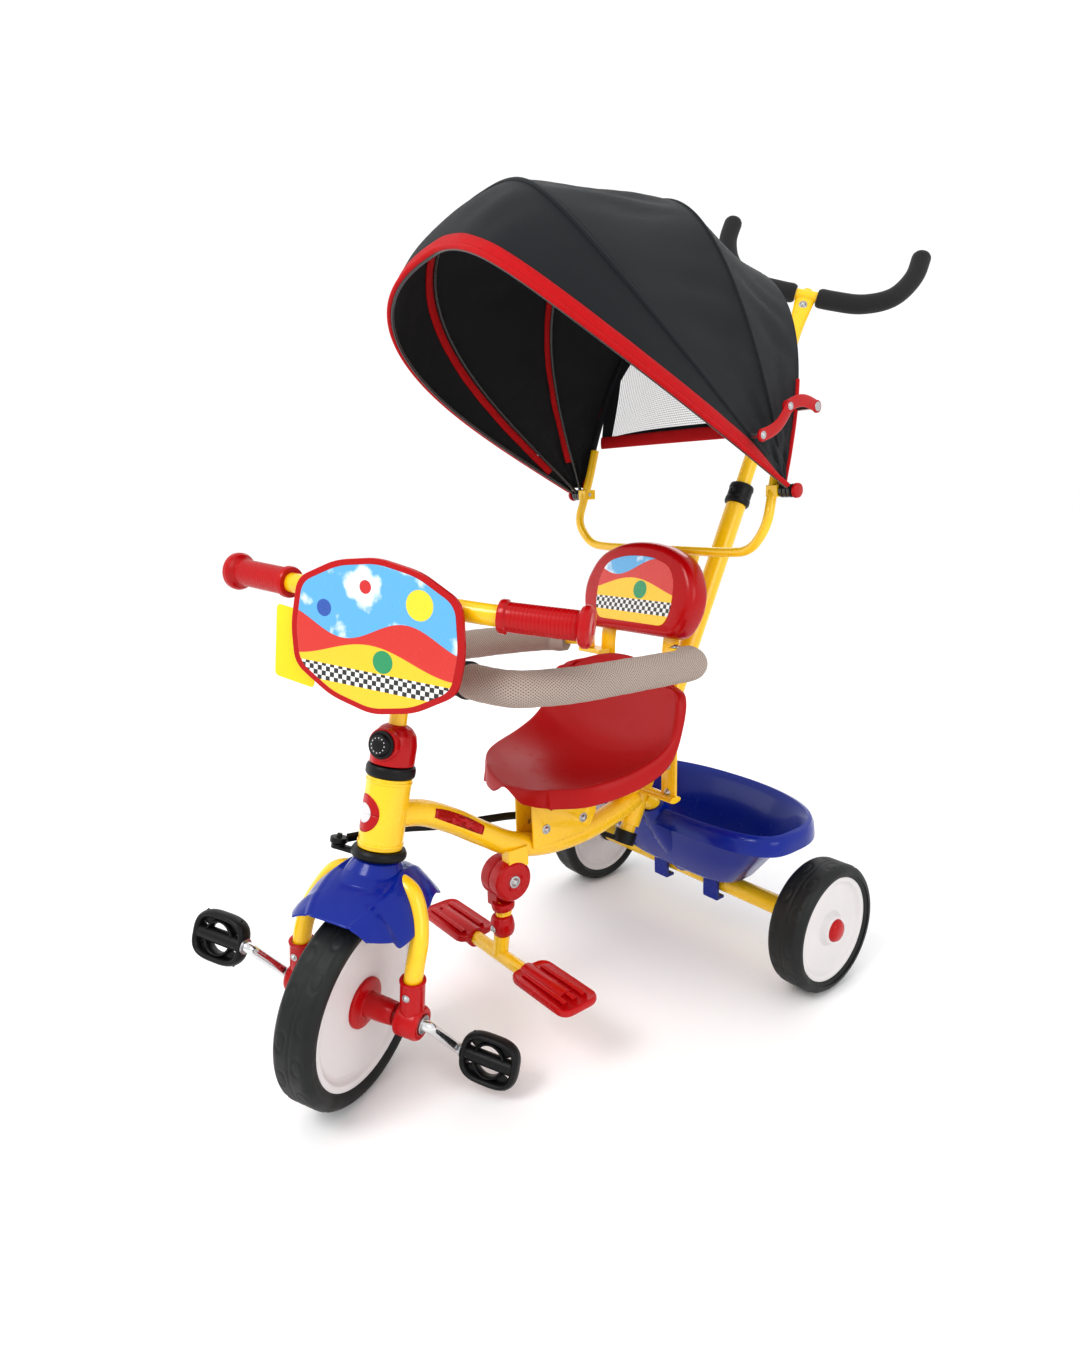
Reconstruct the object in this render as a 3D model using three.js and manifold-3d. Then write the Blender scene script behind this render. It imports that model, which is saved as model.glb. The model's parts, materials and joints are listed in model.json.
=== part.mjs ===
// A children's push tricycle with a folding canopy, safety ring, rear basket and parent handle.
// Units are millimetres. +Z is up, the tricycle faces -Y, and the rider's left is +X.
// The model stands with its front fork turned left, and the parent handle turned with it.
import * as THREE from 'three';
import { mergeVertices } from 'three/addons/utils/BufferGeometryUtils.js';
import Module from 'manifold-3d';

const wasm = await Module();
wasm.setup();

// ---------------------------------------------------------------- driving dimensions
const GAP = 0.3; // between pieces that touch
const LENGTH_CENTRE = 400; // middle of the overall length, behind the front axle

const WHEELBASE = 571;
const FRONT = { radius: 115, tread: 114.3, width: 48.5, disc: 95.5, segments: 30 };
const REAR = { radius: 88, width: 49.8, disc: 73, segments: 26, outerFace: 246.3 };
const AXLE_RADIUS = 6;

const HEAD = { footY: 4.1, footZ: 115.6, tilt: 13.55, turn: 28.7 }; // steering axis, degrees
const HEAD_TUBE = { low: 174.5, high: 255, radius: 25, bore: 22 }; // along the steering axis
const STEM_RADIUS = 10;
const BAR = { y: 59.2, z: 563.4, radius: 11, straight: 115, sweep: 8.6 };

const POLE = { footY: 423.5, footZ: 188, tilt: 26.9, turn: 37.3 };
const SOCKET = { low: 16, high: 504, radius: 14.5, bore: 12 };
const PUSH_TUBE = { radius: 11, low: -12, high: 842 };
const LEVER_REACH = 42.8;
const STEERING_ARM_REACH = 54;

const MAIN_TUBE_RADIUS = 15.5;
const CRANK = { radius: 73.6, angle: -51.7, pedalX: 148.8 };
const HOOD = { y: 511, z: 658 }; // canopy pivot axis
// angle of each bow above straight ahead at its sides, and how much higher its middle stands
const BOWS = {
  rear: { side: 106, lift: -1, half: 176, height: 292, square: 2.5 },
  third: { side: 70, lift: 9, half: 181.5, height: 342, square: 2.8 },
  second: { side: 38, lift: 12.5, half: 187, height: 422, square: 3.2 },
  front: { side: 26.5, lift: 9.4, half: 192.5, height: 430, square: 3.2 },
};
const BOW_RADIUS = 2.3;
const FABRIC = 1.6;
const DRUM = { y: 214, z: 192.5, radius: 26.5 };
const FOOT_BAR = { y: 201, z: 89, radius: 9 };

// ---------------------------------------------------------------- finishes
const finish = (color, roughness, metalness = 0) =>
  new THREE.MeshStandardMaterial({ color, roughness, metalness });
const PAINT = finish(0xf5c814, 0.35, 0.1);
const RED = finish(0xb80f14, 0.25);
const BLUE = finish(0x06197a, 0.25);
const WHITE = finish(0xd8d4d4, 0.4);
const BLACK = finish(0x111111, 0.5);
const TYRE = finish(0x1a1c1c, 0.75);
const CHROME = finish(0xcfd2d6, 0.12, 1);
const CLOTH = finish(0x15171a, 0.85);
const FOAM = finish(0x968a82, 0.95);

// ---------------------------------------------------------------- geometry helpers
const rad = THREE.MathUtils.degToRad;
const V = (x, y, z) => new THREE.Vector3(x, y, z);
const mirrored = (points) => points.map((p) => V(-p.x, p.y, p.z));

/** Six times the volume inside a closed triangle mesh, negative when its faces point in. */
function signedVolume(position, index) {
  const [a, b, c] = [V(), V(), V()];
  let sum = 0;
  for (let i = 0; i < index.length; i += 3) {
    a.fromBufferAttribute(position, index[i]);
    b.fromBufferAttribute(position, index[i + 1]);
    c.fromBufferAttribute(position, index[i + 2]);
    sum += a.dot(b.cross(c));
  }
  return sum;
}

/** The same surface with shared corners, no collapsed triangles, and its faces pointing out. */
function closed(geometry) {
  const bare = geometry.clone();
  bare.deleteAttribute('normal');
  bare.deleteAttribute('uv');
  const merged = mergeVertices(bare, 1e-4);
  const faces = [];
  const all = merged.index.array;
  for (let i = 0; i < all.length; i += 3) {
    const [a, b, c] = [all[i], all[i + 1], all[i + 2]];
    if (a !== b && b !== c && c !== a) faces.push(a, b, c);
  }
  if (signedVolume(merged.attributes.position, faces) < 0) faces.reverse();
  merged.setIndex(faces);
  return merged;
}

function toSolid(geometry) {
  const mesh = closed(geometry);
  const vertProperties = new Float32Array(mesh.attributes.position.array);
  const triVerts = new Uint32Array(mesh.index.array);
  return new wasm.Manifold(new wasm.Mesh({ numProp: 3, vertProperties, triVerts }));
}

function fromSolid(solid) {
  const { vertProperties, triVerts } = solid.getMesh();
  const geometry = new THREE.BufferGeometry();
  geometry.setAttribute('position', new THREE.BufferAttribute(vertProperties, 3));
  geometry.setIndex(new THREE.BufferAttribute(triVerts, 1));
  return geometry;
}

const join = (...parts) => fromSolid(parts.map(toSolid).reduce((a, b) => a.add(b)));
const cut = (part, ...tools) =>
  fromSolid(tools.map(toSolid).reduce((a, b) => a.subtract(b), toSolid(part)));

/** A solid of revolution about Z from [radius, height] corners; a ring profile closes itself. */
function turned(profile, segments = 16) {
  const ring = profile[0][0] > 0 && profile.at(-1)[0] > 0;
  const corners = ring ? [...profile, profile[0]] : profile;
  const points = corners.map(([r, h]) => new THREE.Vector2(r, h));
  return closed(new THREE.LatheGeometry(points, segments).rotateX(Math.PI / 2));
}

const disc = (radius, low, high, segments = 16) =>
  turned([[0, low], [radius, low], [radius, high], [0, high]], segments);

const alongX = (geometry) => geometry.rotateY(Math.PI / 2);

function block(width, depth, height, x, y, z) {
  return new THREE.BoxGeometry(width, depth, height).translate(x, y, z);
}

/** A path through given stations, one extrusion step for each, however far apart they are. */
class StationPath extends THREE.Curve {
  constructor(stations) {
    super();
    this.stations = stations;
  }

  getPoint(t) {
    const last = this.stations.length - 1;
    const i = Math.min(Math.floor(t * last + 1e-9), last - 1);
    return this.stations[i].clone().lerp(this.stations[i + 1], t * last - i);
  }

  getPointAt(u) {
    return this.getPoint(u);
  }

  getTangentAt(u) {
    const last = this.stations.length - 1;
    const i = Math.round(u * last);
    const before = this.stations[Math.max(i - 1, 0)];
    const after = this.stations[Math.min(i + 1, last)];
    return after.clone().sub(before).normalize();
  }
}

/** Corners of a bent rod as stations, each inner corner rounded to about the bend radius. */
function bent(corners, bend, steps = 3) {
  const stations = [corners[0]];
  for (let i = 1; i < corners.length - 1; i += 1) {
    const [a, b, c] = [corners[i - 1], corners[i], corners[i + 1]];
    const reach = Math.min(bend, a.distanceTo(b) * 0.48, b.distanceTo(c) * 0.48);
    const start = b.clone().add(a.clone().sub(b).setLength(reach));
    const end = b.clone().add(c.clone().sub(b).setLength(reach));
    const arc = new THREE.QuadraticBezierCurve3(start, b, end);
    stations.push(...arc.getPoints(steps));
  }
  stations.push(corners.at(-1));
  return stations;
}

const smooth = (corners, steps) =>
  new THREE.CatmullRomCurve3(corners, false, 'centripetal').getPoints(steps);

function sweep(stations, section) {
  const options = { steps: stations.length - 1, extrudePath: new StationPath(stations) };
  return closed(new THREE.ExtrudeGeometry(section, options));
}

/** An elliptical section; its first radius lies along X, or along Y if the path starts upright. */
function oval(radiusX, radiusY = radiusX, sides = 12) {
  const points = [];
  for (let i = 0; i < sides; i += 1) {
    const t = ((i + 0.5) / sides) * 2 * Math.PI;
    points.push(new THREE.Vector2(radiusX * Math.cos(t), radiusY * Math.sin(t)));
  }
  return new THREE.Shape(points);
}

const tube = (stations, radius, sides = 8) => sweep(stations, oval(radius, radius, sides));

/** A closed sheet of even thickness laid over a surface given as (u, v) from 0 to 1. */
function sheet(surface, thickness, across, along) {
  const geometry = new THREE.BoxGeometry(1, 1, 1, across, along, 1);
  const place = geometry.attributes.position;
  const step = 0.002;
  for (let i = 0; i < place.count; i += 1) {
    const u = place.getX(i) + 0.5;
    const v = place.getY(i) + 0.5;
    const du = surface(Math.min(u + step, 1), v).sub(surface(Math.max(u - step, 0), v));
    const dv = surface(u, Math.min(v + step, 1)).sub(surface(u, Math.max(v - step, 0)));
    const normal = du.cross(dv).normalize();
    const point = surface(u, v).addScaledVector(normal, place.getZ(i) * thickness);
    place.setXYZ(i, point.x, point.y, point.z);
  }
  return closed(geometry);
}

/** A smooth curve through evenly spaced values, read at t from 0 to 1. */
function through(values) {
  const curve = new THREE.SplineCurve(values.map((y, i) => new THREE.Vector2(i, y)));
  return (t) => curve.getPoint(Math.min(Math.max(t, 0), 1)).y;
}

function roundedOutline(corners, radius) {
  const shape = new THREE.Shape();
  const stations = bent(corners.concat(corners.slice(0, 2)).map(([x, y]) => V(x, y, 0)), radius, 3);
  stations.slice(1, -1).forEach((p, i) => (i ? shape.lineTo(p.x, p.y) : shape.moveTo(p.x, p.y)));
  return shape;
}

/** A flat plate standing in the XZ plane, from y = 0 back to its thickness. */
function standingPlate(shape, thickness, bevel = 0) {
  const options = {
    depth: thickness - 2 * bevel,
    bevelEnabled: bevel > 0,
    bevelSize: bevel,
    bevelThickness: bevel,
    bevelOffset: -bevel,
    bevelSegments: 1,
    curveSegments: 3,
  };
  return closed(new THREE.ExtrudeGeometry(shape, options).translate(0, 0, bevel - thickness))
    .rotateX(Math.PI / 2);
}

// ---------------------------------------------------------------- placing
const tricycle = new THREE.Group();
tricycle.position.y = -LENGTH_CENTRE;

function addPiece(parent, name, geometry, material) {
  const mesh = new THREE.Mesh(closed(geometry), material);
  mesh.name = name;
  parent.add(mesh);
  return mesh;
}

/** A group turned about a tilted axis, whose contents keep the straight-ahead frame. */
function turnedAbout(axis) {
  const foot = V(0, axis.footY, axis.footZ);
  const direction = V(0, Math.sin(rad(axis.tilt)), Math.cos(rad(axis.tilt)));
  const outer = new THREE.Group();
  const inner = new THREE.Group();
  outer.position.copy(foot);
  outer.quaternion.setFromAxisAngle(direction, rad(axis.turn));
  inner.position.copy(foot).negate();
  outer.add(inner);
  tricycle.add(outer);
  return inner;
}

/** Moves a shape built up a tilted axis, with its foot at the origin, to its place. */
const ontoAxis = (geometry, axis) =>
  geometry.rotateX(-rad(axis.tilt)).translate(0, axis.footY, axis.footZ);

const onAxis = (axis, distance) =>
  V(0, Math.sin(rad(axis.tilt)), Math.cos(rad(axis.tilt)))
    .multiplyScalar(distance)
    .add(V(0, axis.footY, axis.footZ));

const steering = turnedAbout(HEAD);
const handle = turnedAbout(POLE);

// ---------------------------------------------------------------- wheels
/** Tyre section; the tread ends flat on a facet, so the radius is that of the facets. */
function tyre({ radius, width, disc: inner, segments }) {
  const half = width / 2;
  const side = [
    [inner, 0.84], [inner + 5, 0.97], [radius - 8, 1], [radius - 2.5, 0.78], [radius, 0.36],
  ];
  const facet = 1 / Math.cos(Math.PI / segments);
  const near = side.map(([r, w]) => [r * facet, -w * half]);
  const far = side.map(([r, w]) => [r * facet, w * half]).reverse();
  return alongX(turned([...near, ...far], segments));
}

/** Dished plastic wheel centre with a raised rim, bored for its hub or axle. */
function wheelCentre({ disc: outer, segments }, bore, hubHalf, rimHalf, webHalf) {
  const facet = 1 / Math.cos(Math.PI / segments);
  const rim = (outer - GAP) * facet;
  const half = [
    [bore, hubHalf], [bore + 13, hubHalf], [bore + 16, webHalf], [outer - 13, webHalf],
    [outer - 9, rimHalf], [rim, rimHalf],
  ];
  const lower = half.map(([r, w]) => [r, -w]);
  return alongX(turned([...half, ...lower.reverse()], segments));
}

function frontHub() {
  const half = [[6.4, 54], [13, 54], [14, 17.5], [29, 16], [29, 12.4], [17, 12.4]];
  const lower = half.map(([r, w]) => [r, -w]).reverse();
  return alongX(turned([...half, ...lower], 20));
}

/** One bent rod: pedal spindle, crank arm, wheel axle, crank arm and pedal spindle. */
function crank() {
  const reach = CRANK.radius;
  const y = reach * Math.cos(rad(CRANK.angle));
  const z = reach * Math.sin(rad(CRANK.angle));
  const left = [V(CRANK.pedalX + 28, y, z), V(106, y, z), V(96, 0, 0)];
  const right = [V(-96, 0, 0), V(-106, -y, -z), V(-CRANK.pedalX - 28, -y, -z)];
  return tube(bent([...left, ...right], 7, 3), AXLE_RADIUS, 10).translate(0, 0, FRONT.radius);
}

/** Block pedal with a middle bar and two windows, standing nearly upright on its spindle. */
function pedal(side) {
  const outline = roundedOutline([[-34, -28], [34, -28], [34, 28], [-34, 28]], 17);
  for (const up of [1, -1]) {
    const corners = [[-20, 9 * up], [20, 9 * up], [12, 20 * up], [-12, 20 * up]];
    outline.holes.push(roundedOutline(corners, 6));
  }
  const body = standingPlate(outline, 18).translate(0, -9, 0);
  const bore = alongX(disc(AXLE_RADIUS + 0.4, -40, 31, 10));
  if (side < 0) bore.rotateY(Math.PI);
  const shape = cut(body, bore).rotateX(rad(-18));
  const y = side * CRANK.radius * Math.cos(rad(CRANK.angle));
  const z = side * CRANK.radius * Math.sin(rad(CRANK.angle)) + FRONT.radius;
  return shape.translate(side * CRANK.pedalX, y, z);
}

function addFrontWheel() {
  const centre = V(0, 0, FRONT.radius);
  const place = (geometry) => geometry.translate(centre.x, centre.y, centre.z);
  addPiece(steering, 'front_tyre', place(tyre({ ...FRONT, radius: FRONT.tread })), TYRE);
  addPiece(steering, 'front_wheel_disc', place(wheelCentre(FRONT, 17.4, 12, 20, 12)), WHITE);
  addPiece(steering, 'front_hub', place(frontHub()), RED);
  addPiece(steering, 'crank_axle', crank(), CHROME);
  addPiece(steering, 'pedal_left', pedal(1), BLACK);
  addPiece(steering, 'pedal_right', pedal(-1), BLACK);
}

function addRearWheels() {
  for (const [side, name] of [[1, 'left'], [-1, 'right']]) {
    const x = side * (REAR.outerFace - REAR.width / 2);
    const place = (geometry) => geometry.translate(x, WHEELBASE, REAR.radius);
    addPiece(tricycle, `rear_tyre_${name}`, place(tyre(REAR)), TYRE);
    const centre = wheelCentre(REAR, AXLE_RADIUS + 0.4, 23, 20, 14);
    addPiece(tricycle, `rear_wheel_disc_${name}`, place(centre), WHITE);
  }
}

// ---------------------------------------------------------------- frame
const mainTubePath = smooth(
  [
    V(0, 60, 318), V(0, 100, 310), V(0, 140, 289), V(0, 180, 262), V(0, 222, 236),
    V(0, 270, 221), V(0, 330, 217), V(0, 390, 225), V(0, 440, 240),
  ],
  18,
);

const stayPath = bent([V(0, 452, 240), V(0, 478, 220), V(0, 508, 168), V(0, 566, 92)], 30);
const headCylinder = (radius, low, high) => ontoAxis(disc(radius, low, high), HEAD);
const poleCylinder = (radius, low, high) => ontoAxis(disc(radius, low, high), POLE);
const mainTubeOffset = (extra) => tube(mainTubePath, MAIN_TUBE_RADIUS + extra);

function addFrame() {
  const { radius, bore, low, high } = HEAD_TUBE;
  const headTube = turned([[bore, low], [radius, low], [radius, high], [bore, high]], 28);
  addPiece(tricycle, 'head_tube', ontoAxis(headTube, HEAD), PAINT);

  const headSpace = headCylinder(radius + 2 * GAP, low - 20, high + 20);
  const poleSpace = poleCylinder(SOCKET.radius + GAP, -20, SOCKET.high);
  addPiece(tricycle, 'main_tube', cut(mainTubeOffset(0), headSpace, poleSpace), PAINT);

  const wall = [
    [SOCKET.bore, SOCKET.low], [SOCKET.radius, SOCKET.low],
    [SOCKET.radius, SOCKET.high], [SOCKET.bore, SOCKET.high],
  ];
  addPiece(tricycle, 'pole_socket', ontoAxis(turned(wall, 20), POLE), PAINT);

  const axleSpace = alongX(disc(14 + GAP, -80, 80)).translate(0, WHEELBASE, REAR.radius);
  const stay = cut(sweep(stayPath, oval(17.5, 13.5, 12)), poleSpace, axleSpace, mainTubeOffset(GAP));
  addPiece(tricycle, 'rear_stay', stay, PAINT);

  const axle = join(disc(14, -189, 189, 20), disc(AXLE_RADIUS, -240, 240, 14));
  addPiece(tricycle, 'rear_axle', alongX(axle).translate(0, WHEELBASE, REAR.radius), PAINT);
}

function addCollars() {
  const bore = STEM_RADIUS + 0.4;
  const lower = turned([[bore, 163.1], [29, 163.1], [31, 168], [29, 174.2], [bore, 174.2]], 24);
  addPiece(tricycle, 'lower_head_bearing', ontoAxis(lower, HEAD), BLACK);
  const upper = turned([[bore, 255.3], [26, 255.3], [27.5, 260], [27, 268], [bore, 268]], 24);
  addPiece(tricycle, 'upper_head_bearing', ontoAxis(upper, HEAD), BLACK);
  const grip = [[11.4, 504.3], [17.5, 504.3], [18.2, 508], [17.5, 534], [11.4, 534]];
  addPiece(tricycle, 'pole_collar', ontoAxis(turned(grip, 20), POLE), BLACK);
}

/** Inverted channel over the main tube, with two holes on each side for the seat bolts. */
function seatBracket() {
  const shape = new THREE.Shape();
  const outline = [[246, 226], [246, 291], [352, 291], [352, 250], [338, 226]];
  outline.forEach(([y, z], i) => (i ? shape.lineTo(y, z) : shape.moveTo(y, z)));
  const solid = new THREE.ExtrudeGeometry(shape, { depth: 37, bevelEnabled: false });
  // the drawing plane becomes YZ and the depth runs along X
  solid.applyMatrix4(new THREE.Matrix4().makeBasis(V(0, 1, 0), V(0, 0, 1), V(1, 0, 0)));
  solid.translate(-18.5, 0, 0);
  const inside = block(31, 120, 80, 0, 299, 248);
  const bolts = [[267, 247], [329, 246]].map(([y, z]) =>
    alongX(disc(3.3, -30, 30, 10)).translate(0, y, z));
  return cut(solid, inside, mainTubeOffset(GAP), ...bolts);
}

// ---------------------------------------------------------------- seat and backrest
/** Stations from the nose of the saddle back and up to the top of the bucket. */
const seatEdge = {
  half: through([70, 108, 125, 131, 129, 88]),
  y: through([236, 268, 325, 378, 402, 417]),
  z: through([296, 303, 313, 338, 385, 428]),
};
const seatMiddle = {
  y: through([222, 258, 310, 362, 402, 421]),
  z: through([314, 316, 314, 322, 372, 449]),
};
const SEAT_LIP = { start: 0.84, rise: 24, out: 7 };

/** The saddle's top: a dished middle, a crest inside the edge, and a lip rolled down to it. */
function seatSurface(u, v) {
  const side = 2 * u - 1;
  const across = Math.abs(side);
  const [half, edgeY, edgeZ] = [seatEdge.half(v), seatEdge.y(v), seatEdge.z(v)];
  const [middleY, middleZ] = [seatMiddle.y(v), seatMiddle.z(v)];
  const upright = THREE.MathUtils.smoothstep(v, 0.55, 0.9);
  const crestZ = edgeZ + SEAT_LIP.rise * (1 - 0.6 * upright) * (1 - THREE.MathUtils.smoothstep(v, 0.85, 1));
  const crestY = edgeY - 12 * upright;
  const crestHalf = half - SEAT_LIP.out;
  if (across <= SEAT_LIP.start) {
    const t = across / SEAT_LIP.start;
    const bowl = t ** 2.2;
    const y = middleY + (crestY - middleY) * bowl;
    return V(Math.sign(side) * crestHalf * t, y, middleZ + (crestZ - middleZ) * bowl);
  }
  const t = (across - SEAT_LIP.start) / (1 - SEAT_LIP.start);
  const x = crestHalf + SEAT_LIP.out * Math.sin((t * Math.PI) / 2);
  const y = crestY + (edgeY - crestY) * t;
  return V(Math.sign(side) * x, y, crestZ + (edgeZ - crestZ) * (1 - Math.cos((t * Math.PI) / 2)));
}

/** Saddle shell with an arch at the nose and a rib that stands between the bracket's sides. */
function seat() {
  const shell = sheet(seatSurface, 5, 16, 10);
  const arch = disc(20, -40, 40, 16).rotateX(Math.PI / 2).translate(0, 216, 288);
  return join(cut(shell, arch), block(28, 84, 24, 0, 302, 303.5));
}

const POST = { x: 59, y: 449, bend: 466, topY: 488, topZ: 578 };

/** Flat upright behind the seat, bent back to follow the backrest. */
function post(side) {
  const x = side * POST.x;
  const corners = [V(x, POST.y, 252), V(x, POST.y, POST.bend), V(x, POST.topY, POST.topZ)];
  return sweep(bent(corners, 20, 3), oval(3.4, 14, 8));
}

/** Both uprights and the bar under the seat that carries them on the main tube. */
function backrestFrame() {
  const bar = block(146, 22, 9, 0, 447, 254);
  const tubes = [mainTubeOffset(2 * GAP), poleCylinder(SOCKET.radius + GAP, -20, SOCKET.high)];
  const lug = block(30, 40, 9, 0, 425, 254);
  const hinges = [1, -1].flatMap((side) => {
    const shelf = block(44, 24, 6, side * 73, 436.5, 443.5);
    const pin = disc(GUARD_PIN.radius, GUARD_PIN.low, GUARD_PIN.high, 12);
    return [shelf, pin.translate(side * GUARD.pivotX, GUARD.pivotY, 0)];
  });
  return cut(join(bar, lug, post(1), post(-1), ...hinges), ...tubes);
}

function seatBack() {
  const half = [[84, 0], [101, 30], [103, 62], [84, 100], [44, 119], [0, 124]];
  const other = half.slice(0, -1).map(([x, z]) => [-x, z]).reverse();
  const corners = [[-84, 0], [84, 0], ...half.slice(1), ...other.slice(0, -1)];
  const shape = roundedOutline(corners, 22);
  const cushion = standingPlate(shape, 34, 8).rotateX(rad(-13)).translate(0, 429, 478);
  const slots = [1, -1].map((side) => {
    const x = side * POST.x;
    const top = V(x, POST.topY + 2, POST.topZ + 5.7);
    return sweep(bent([V(x, POST.y, 400), V(x, POST.y, POST.bend), top], 20, 3), oval(4.4, 15.2, 8));
  });
  return cut(cushion, ...slots);
}

function addSeat() {
  addPiece(tricycle, 'seat_bracket', seatBracket(), PAINT);
  addPiece(tricycle, 'seat', seat(), RED);
  addPiece(tricycle, 'backrest_frame', backrestFrame(), PAINT);
  addPiece(tricycle, 'seat_back', seatBack(), RED);
}

// ---------------------------------------------------------------- safety ring
const GUARD = {
  half: 146, foam: 19.5, core: 8, z: 467, pivotX: 84, pivotY: 433, frontY: 138,
};
const GUARD_PIN = { radius: 3, low: 441, high: 470 };

function guardArm() {
  const start = V(GUARD.pivotX, GUARD.pivotY, 457);
  const outer = [
    V(140, 404, 458), V(GUARD.half, 330, 462), V(GUARD.half, 204, 466), V(122, 150, GUARD.z),
    V(88, GUARD.frontY + 1, GUARD.z + 1), V(50, GUARD.frontY, GUARD.z + 1),
  ];
  const core = tube(bent([start, V(110, 419.5, 457), outer[0]], 12, 2), GUARD.core, 8);
  const foamStart = V(112, 418, 457);
  const foam = tube(bent([foamStart, ...outer], 42, 3), GUARD.foam, 10);
  const knuckle = disc(10, 447, 467, 14).translate(GUARD.pivotX, GUARD.pivotY, 0);
  const bore = disc(GUARD_PIN.radius + 2 * GAP, 440, 475, 12).translate(GUARD.pivotX, GUARD.pivotY, 0);
  return cut(join(knuckle, core, foam), bore);
}

/** Clip at the front of the ring: an end plate on each arm with a buckle bar between them. */
function guardClip() {
  const half = [[0, 48.2], [20.5, 48.2], [20.5, 43], [10, 41]];
  const lower = half.map(([r, x]) => [r, -x + 0.6]).reverse();
  return alongX(turned([...half, ...lower], 20)).translate(0, GUARD.frontY, GUARD.z + 1);
}

function addGuard() {
  const arm = guardArm();
  addPiece(tricycle, 'guard_arm_left', arm, FOAM);
  addPiece(tricycle, 'guard_arm_right', arm.clone().scale(-1, 1, 1), FOAM);
  addPiece(tricycle, 'guard_clip', guardClip(), BLACK);
}

// ---------------------------------------------------------------- steering assembly
const axisPoint = (distance) => onAxis(HEAD, distance);
const crownSpace = (extra) =>
  ontoAxis(block(66 + 2 * extra, 14 + 2 * extra, 6 + 2 * extra, 0, 0, 142), HEAD);
const legPath = (side, grow = 0) =>
  smooth(
    [
      V((28 - grow) * side, 38, 255 + grow * 0.3), V(50 * side, 33, 248),
      V(64 * side, 25, 228), V(72 * side, 14, 206),
      V(74 * side, 4, 182), V(74 * side, 0, 160), V(74 * side, 0, 138 - grow),
    ],
    14,
  );
const LEG_RADIUS = 10.5;

function stem() {
  const corners = [axisPoint(141), axisPoint(338), V(0, BAR.y, BAR.z)];
  const bar = alongX(disc(BAR.radius + GAP, -30, 30)).translate(0, BAR.y, BAR.z);
  return cut(join(tube(bent(corners, 22, 4), STEM_RADIUS, 14), crownSpace(0)), bar);
}

/** Plastic end of a fork leg: a sleeve over the tube and a boss that holds the crank axle. */
function bearingEnd(side) {
  const sleeve = disc(13.5, 132, 168, 18).translate(74 * side, 0, 0);
  const boss = alongX(disc(19, 60, 88, 22)).translate(0, 0, FRONT.radius);
  if (side < 0) boss.rotateZ(Math.PI);
  const bore = alongX(disc(AXLE_RADIUS + 0.4, -100, 100, 14)).translate(0, 0, FRONT.radius);
  return cut(join(sleeve, boss), tube(legPath(side, 1), LEG_RADIUS + 1.1), bore);
}

const guardTop = { y: through([-47, -22, 8, 40, 70, 98]), z: through([240, 252, 262, 267, 257, 228]) };
const guardHalf = through([46, 62, 69, 60, 54, 48]);
const guardDrop = through([9, 30, 48, 48, 34, 16]);

/** Front mudguard: a saddle over the tyre, high in the middle where the fork passes through. */
function mudguard() {
  const surface = (u, v) => {
    const side = 2 * u - 1;
    const drop = guardDrop(v) * Math.abs(side) ** 3.6;
    return V(side * guardHalf(v), guardTop.y(v), guardTop.z(v) - drop);
  };
  const holes = [
    headCylinder(STEM_RADIUS + 1, 120, 200),
    tube(legPath(1, 3), LEG_RADIUS + 3),
    tube(legPath(-1, 3), LEG_RADIUS + 3),
  ];
  return cut(sheet(surface, 3, 12, 7), ...holes);
}

function headCap() {
  const bore = STEM_RADIUS + GAP;
  const profile = [
    [bore, 268.6], [25, 268.6], [25, 292], [22.5, 303], [17, 310], [bore + 1, 313], [bore, 313],
  ];
  const boss = disc(18, 10, 25.4, 16).rotateX(Math.PI / 2).translate(0, 0, 292);
  const cap = join(turned(profile, 24), boss);
  return ontoAxis(cut(cap, disc(bore, 260, 320)), HEAD);
}

function headlamp() {
  const dome = turned([[0, 25.7], [15.5, 25.7], [14.6, 30], [11, 34], [5.5, 36], [0, 36.4]], 16);
  return ontoAxis(dome.rotateX(Math.PI / 2).translate(0, 0, 292), HEAD);
}

function handlebar() {
  const end = V(BAR.straight + 98 * Math.cos(rad(BAR.sweep)), BAR.y + 98 * Math.sin(rad(BAR.sweep)), BAR.z);
  const corner = V(BAR.straight, BAR.y, BAR.z);
  const left = [end, corner];
  return tube(bent([...left, ...mirrored(left).reverse()], 14, 2), BAR.radius, 14);
}

/** Moulded grip with a small inner flange and a large outer knob. */
function grip(side) {
  const bore = BAR.radius + 0.35;
  const profile = [
    [0, 105], [13, 105], [20.5, 101.5], [21, 96], [15.5, 91], [14.6, 60], [14.6, 24],
    [17, 20], [17, 12], [bore, 12], [bore, 100], [0, 100],
  ];
  const shape = alongX(turned(profile, 22)).rotateZ(rad(BAR.sweep));
  shape.translate(BAR.straight, BAR.y, BAR.z);
  return side > 0 ? shape : shape.scale(-1, 1, 1);
}

/** Plaque in front of the handlebar, with two arms that clip round the bar. */
function plaque() {
  const half = [[99, 38], [105, 80], [98, 131], [50, 155], [0, 163]];
  const other = half.slice(0, -1).map(([x, z]) => [-x, z]).reverse();
  const shape = roundedOutline([[0, 0], [52, 11], ...half, ...other, [-52, 11]], 14);
  const panel = standingPlate(shape, 5).rotateX(rad(-3)).translate(0, 27, 446);
  const arms = [62, -62].map((x) => block(12, 26, 16, x, 45, BAR.z - 1));
  const bar = handlebar();
  const ring = [62, -62].map((x) => alongX(disc(15, -6, 6, 18)).translate(x, BAR.y, BAR.z));
  const barSpace = alongX(disc(BAR.radius + GAP, -100, 100, 14)).translate(0, BAR.y, BAR.z);
  return bar && cut(join(panel, ...arms, ...ring), barSpace);
}

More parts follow.
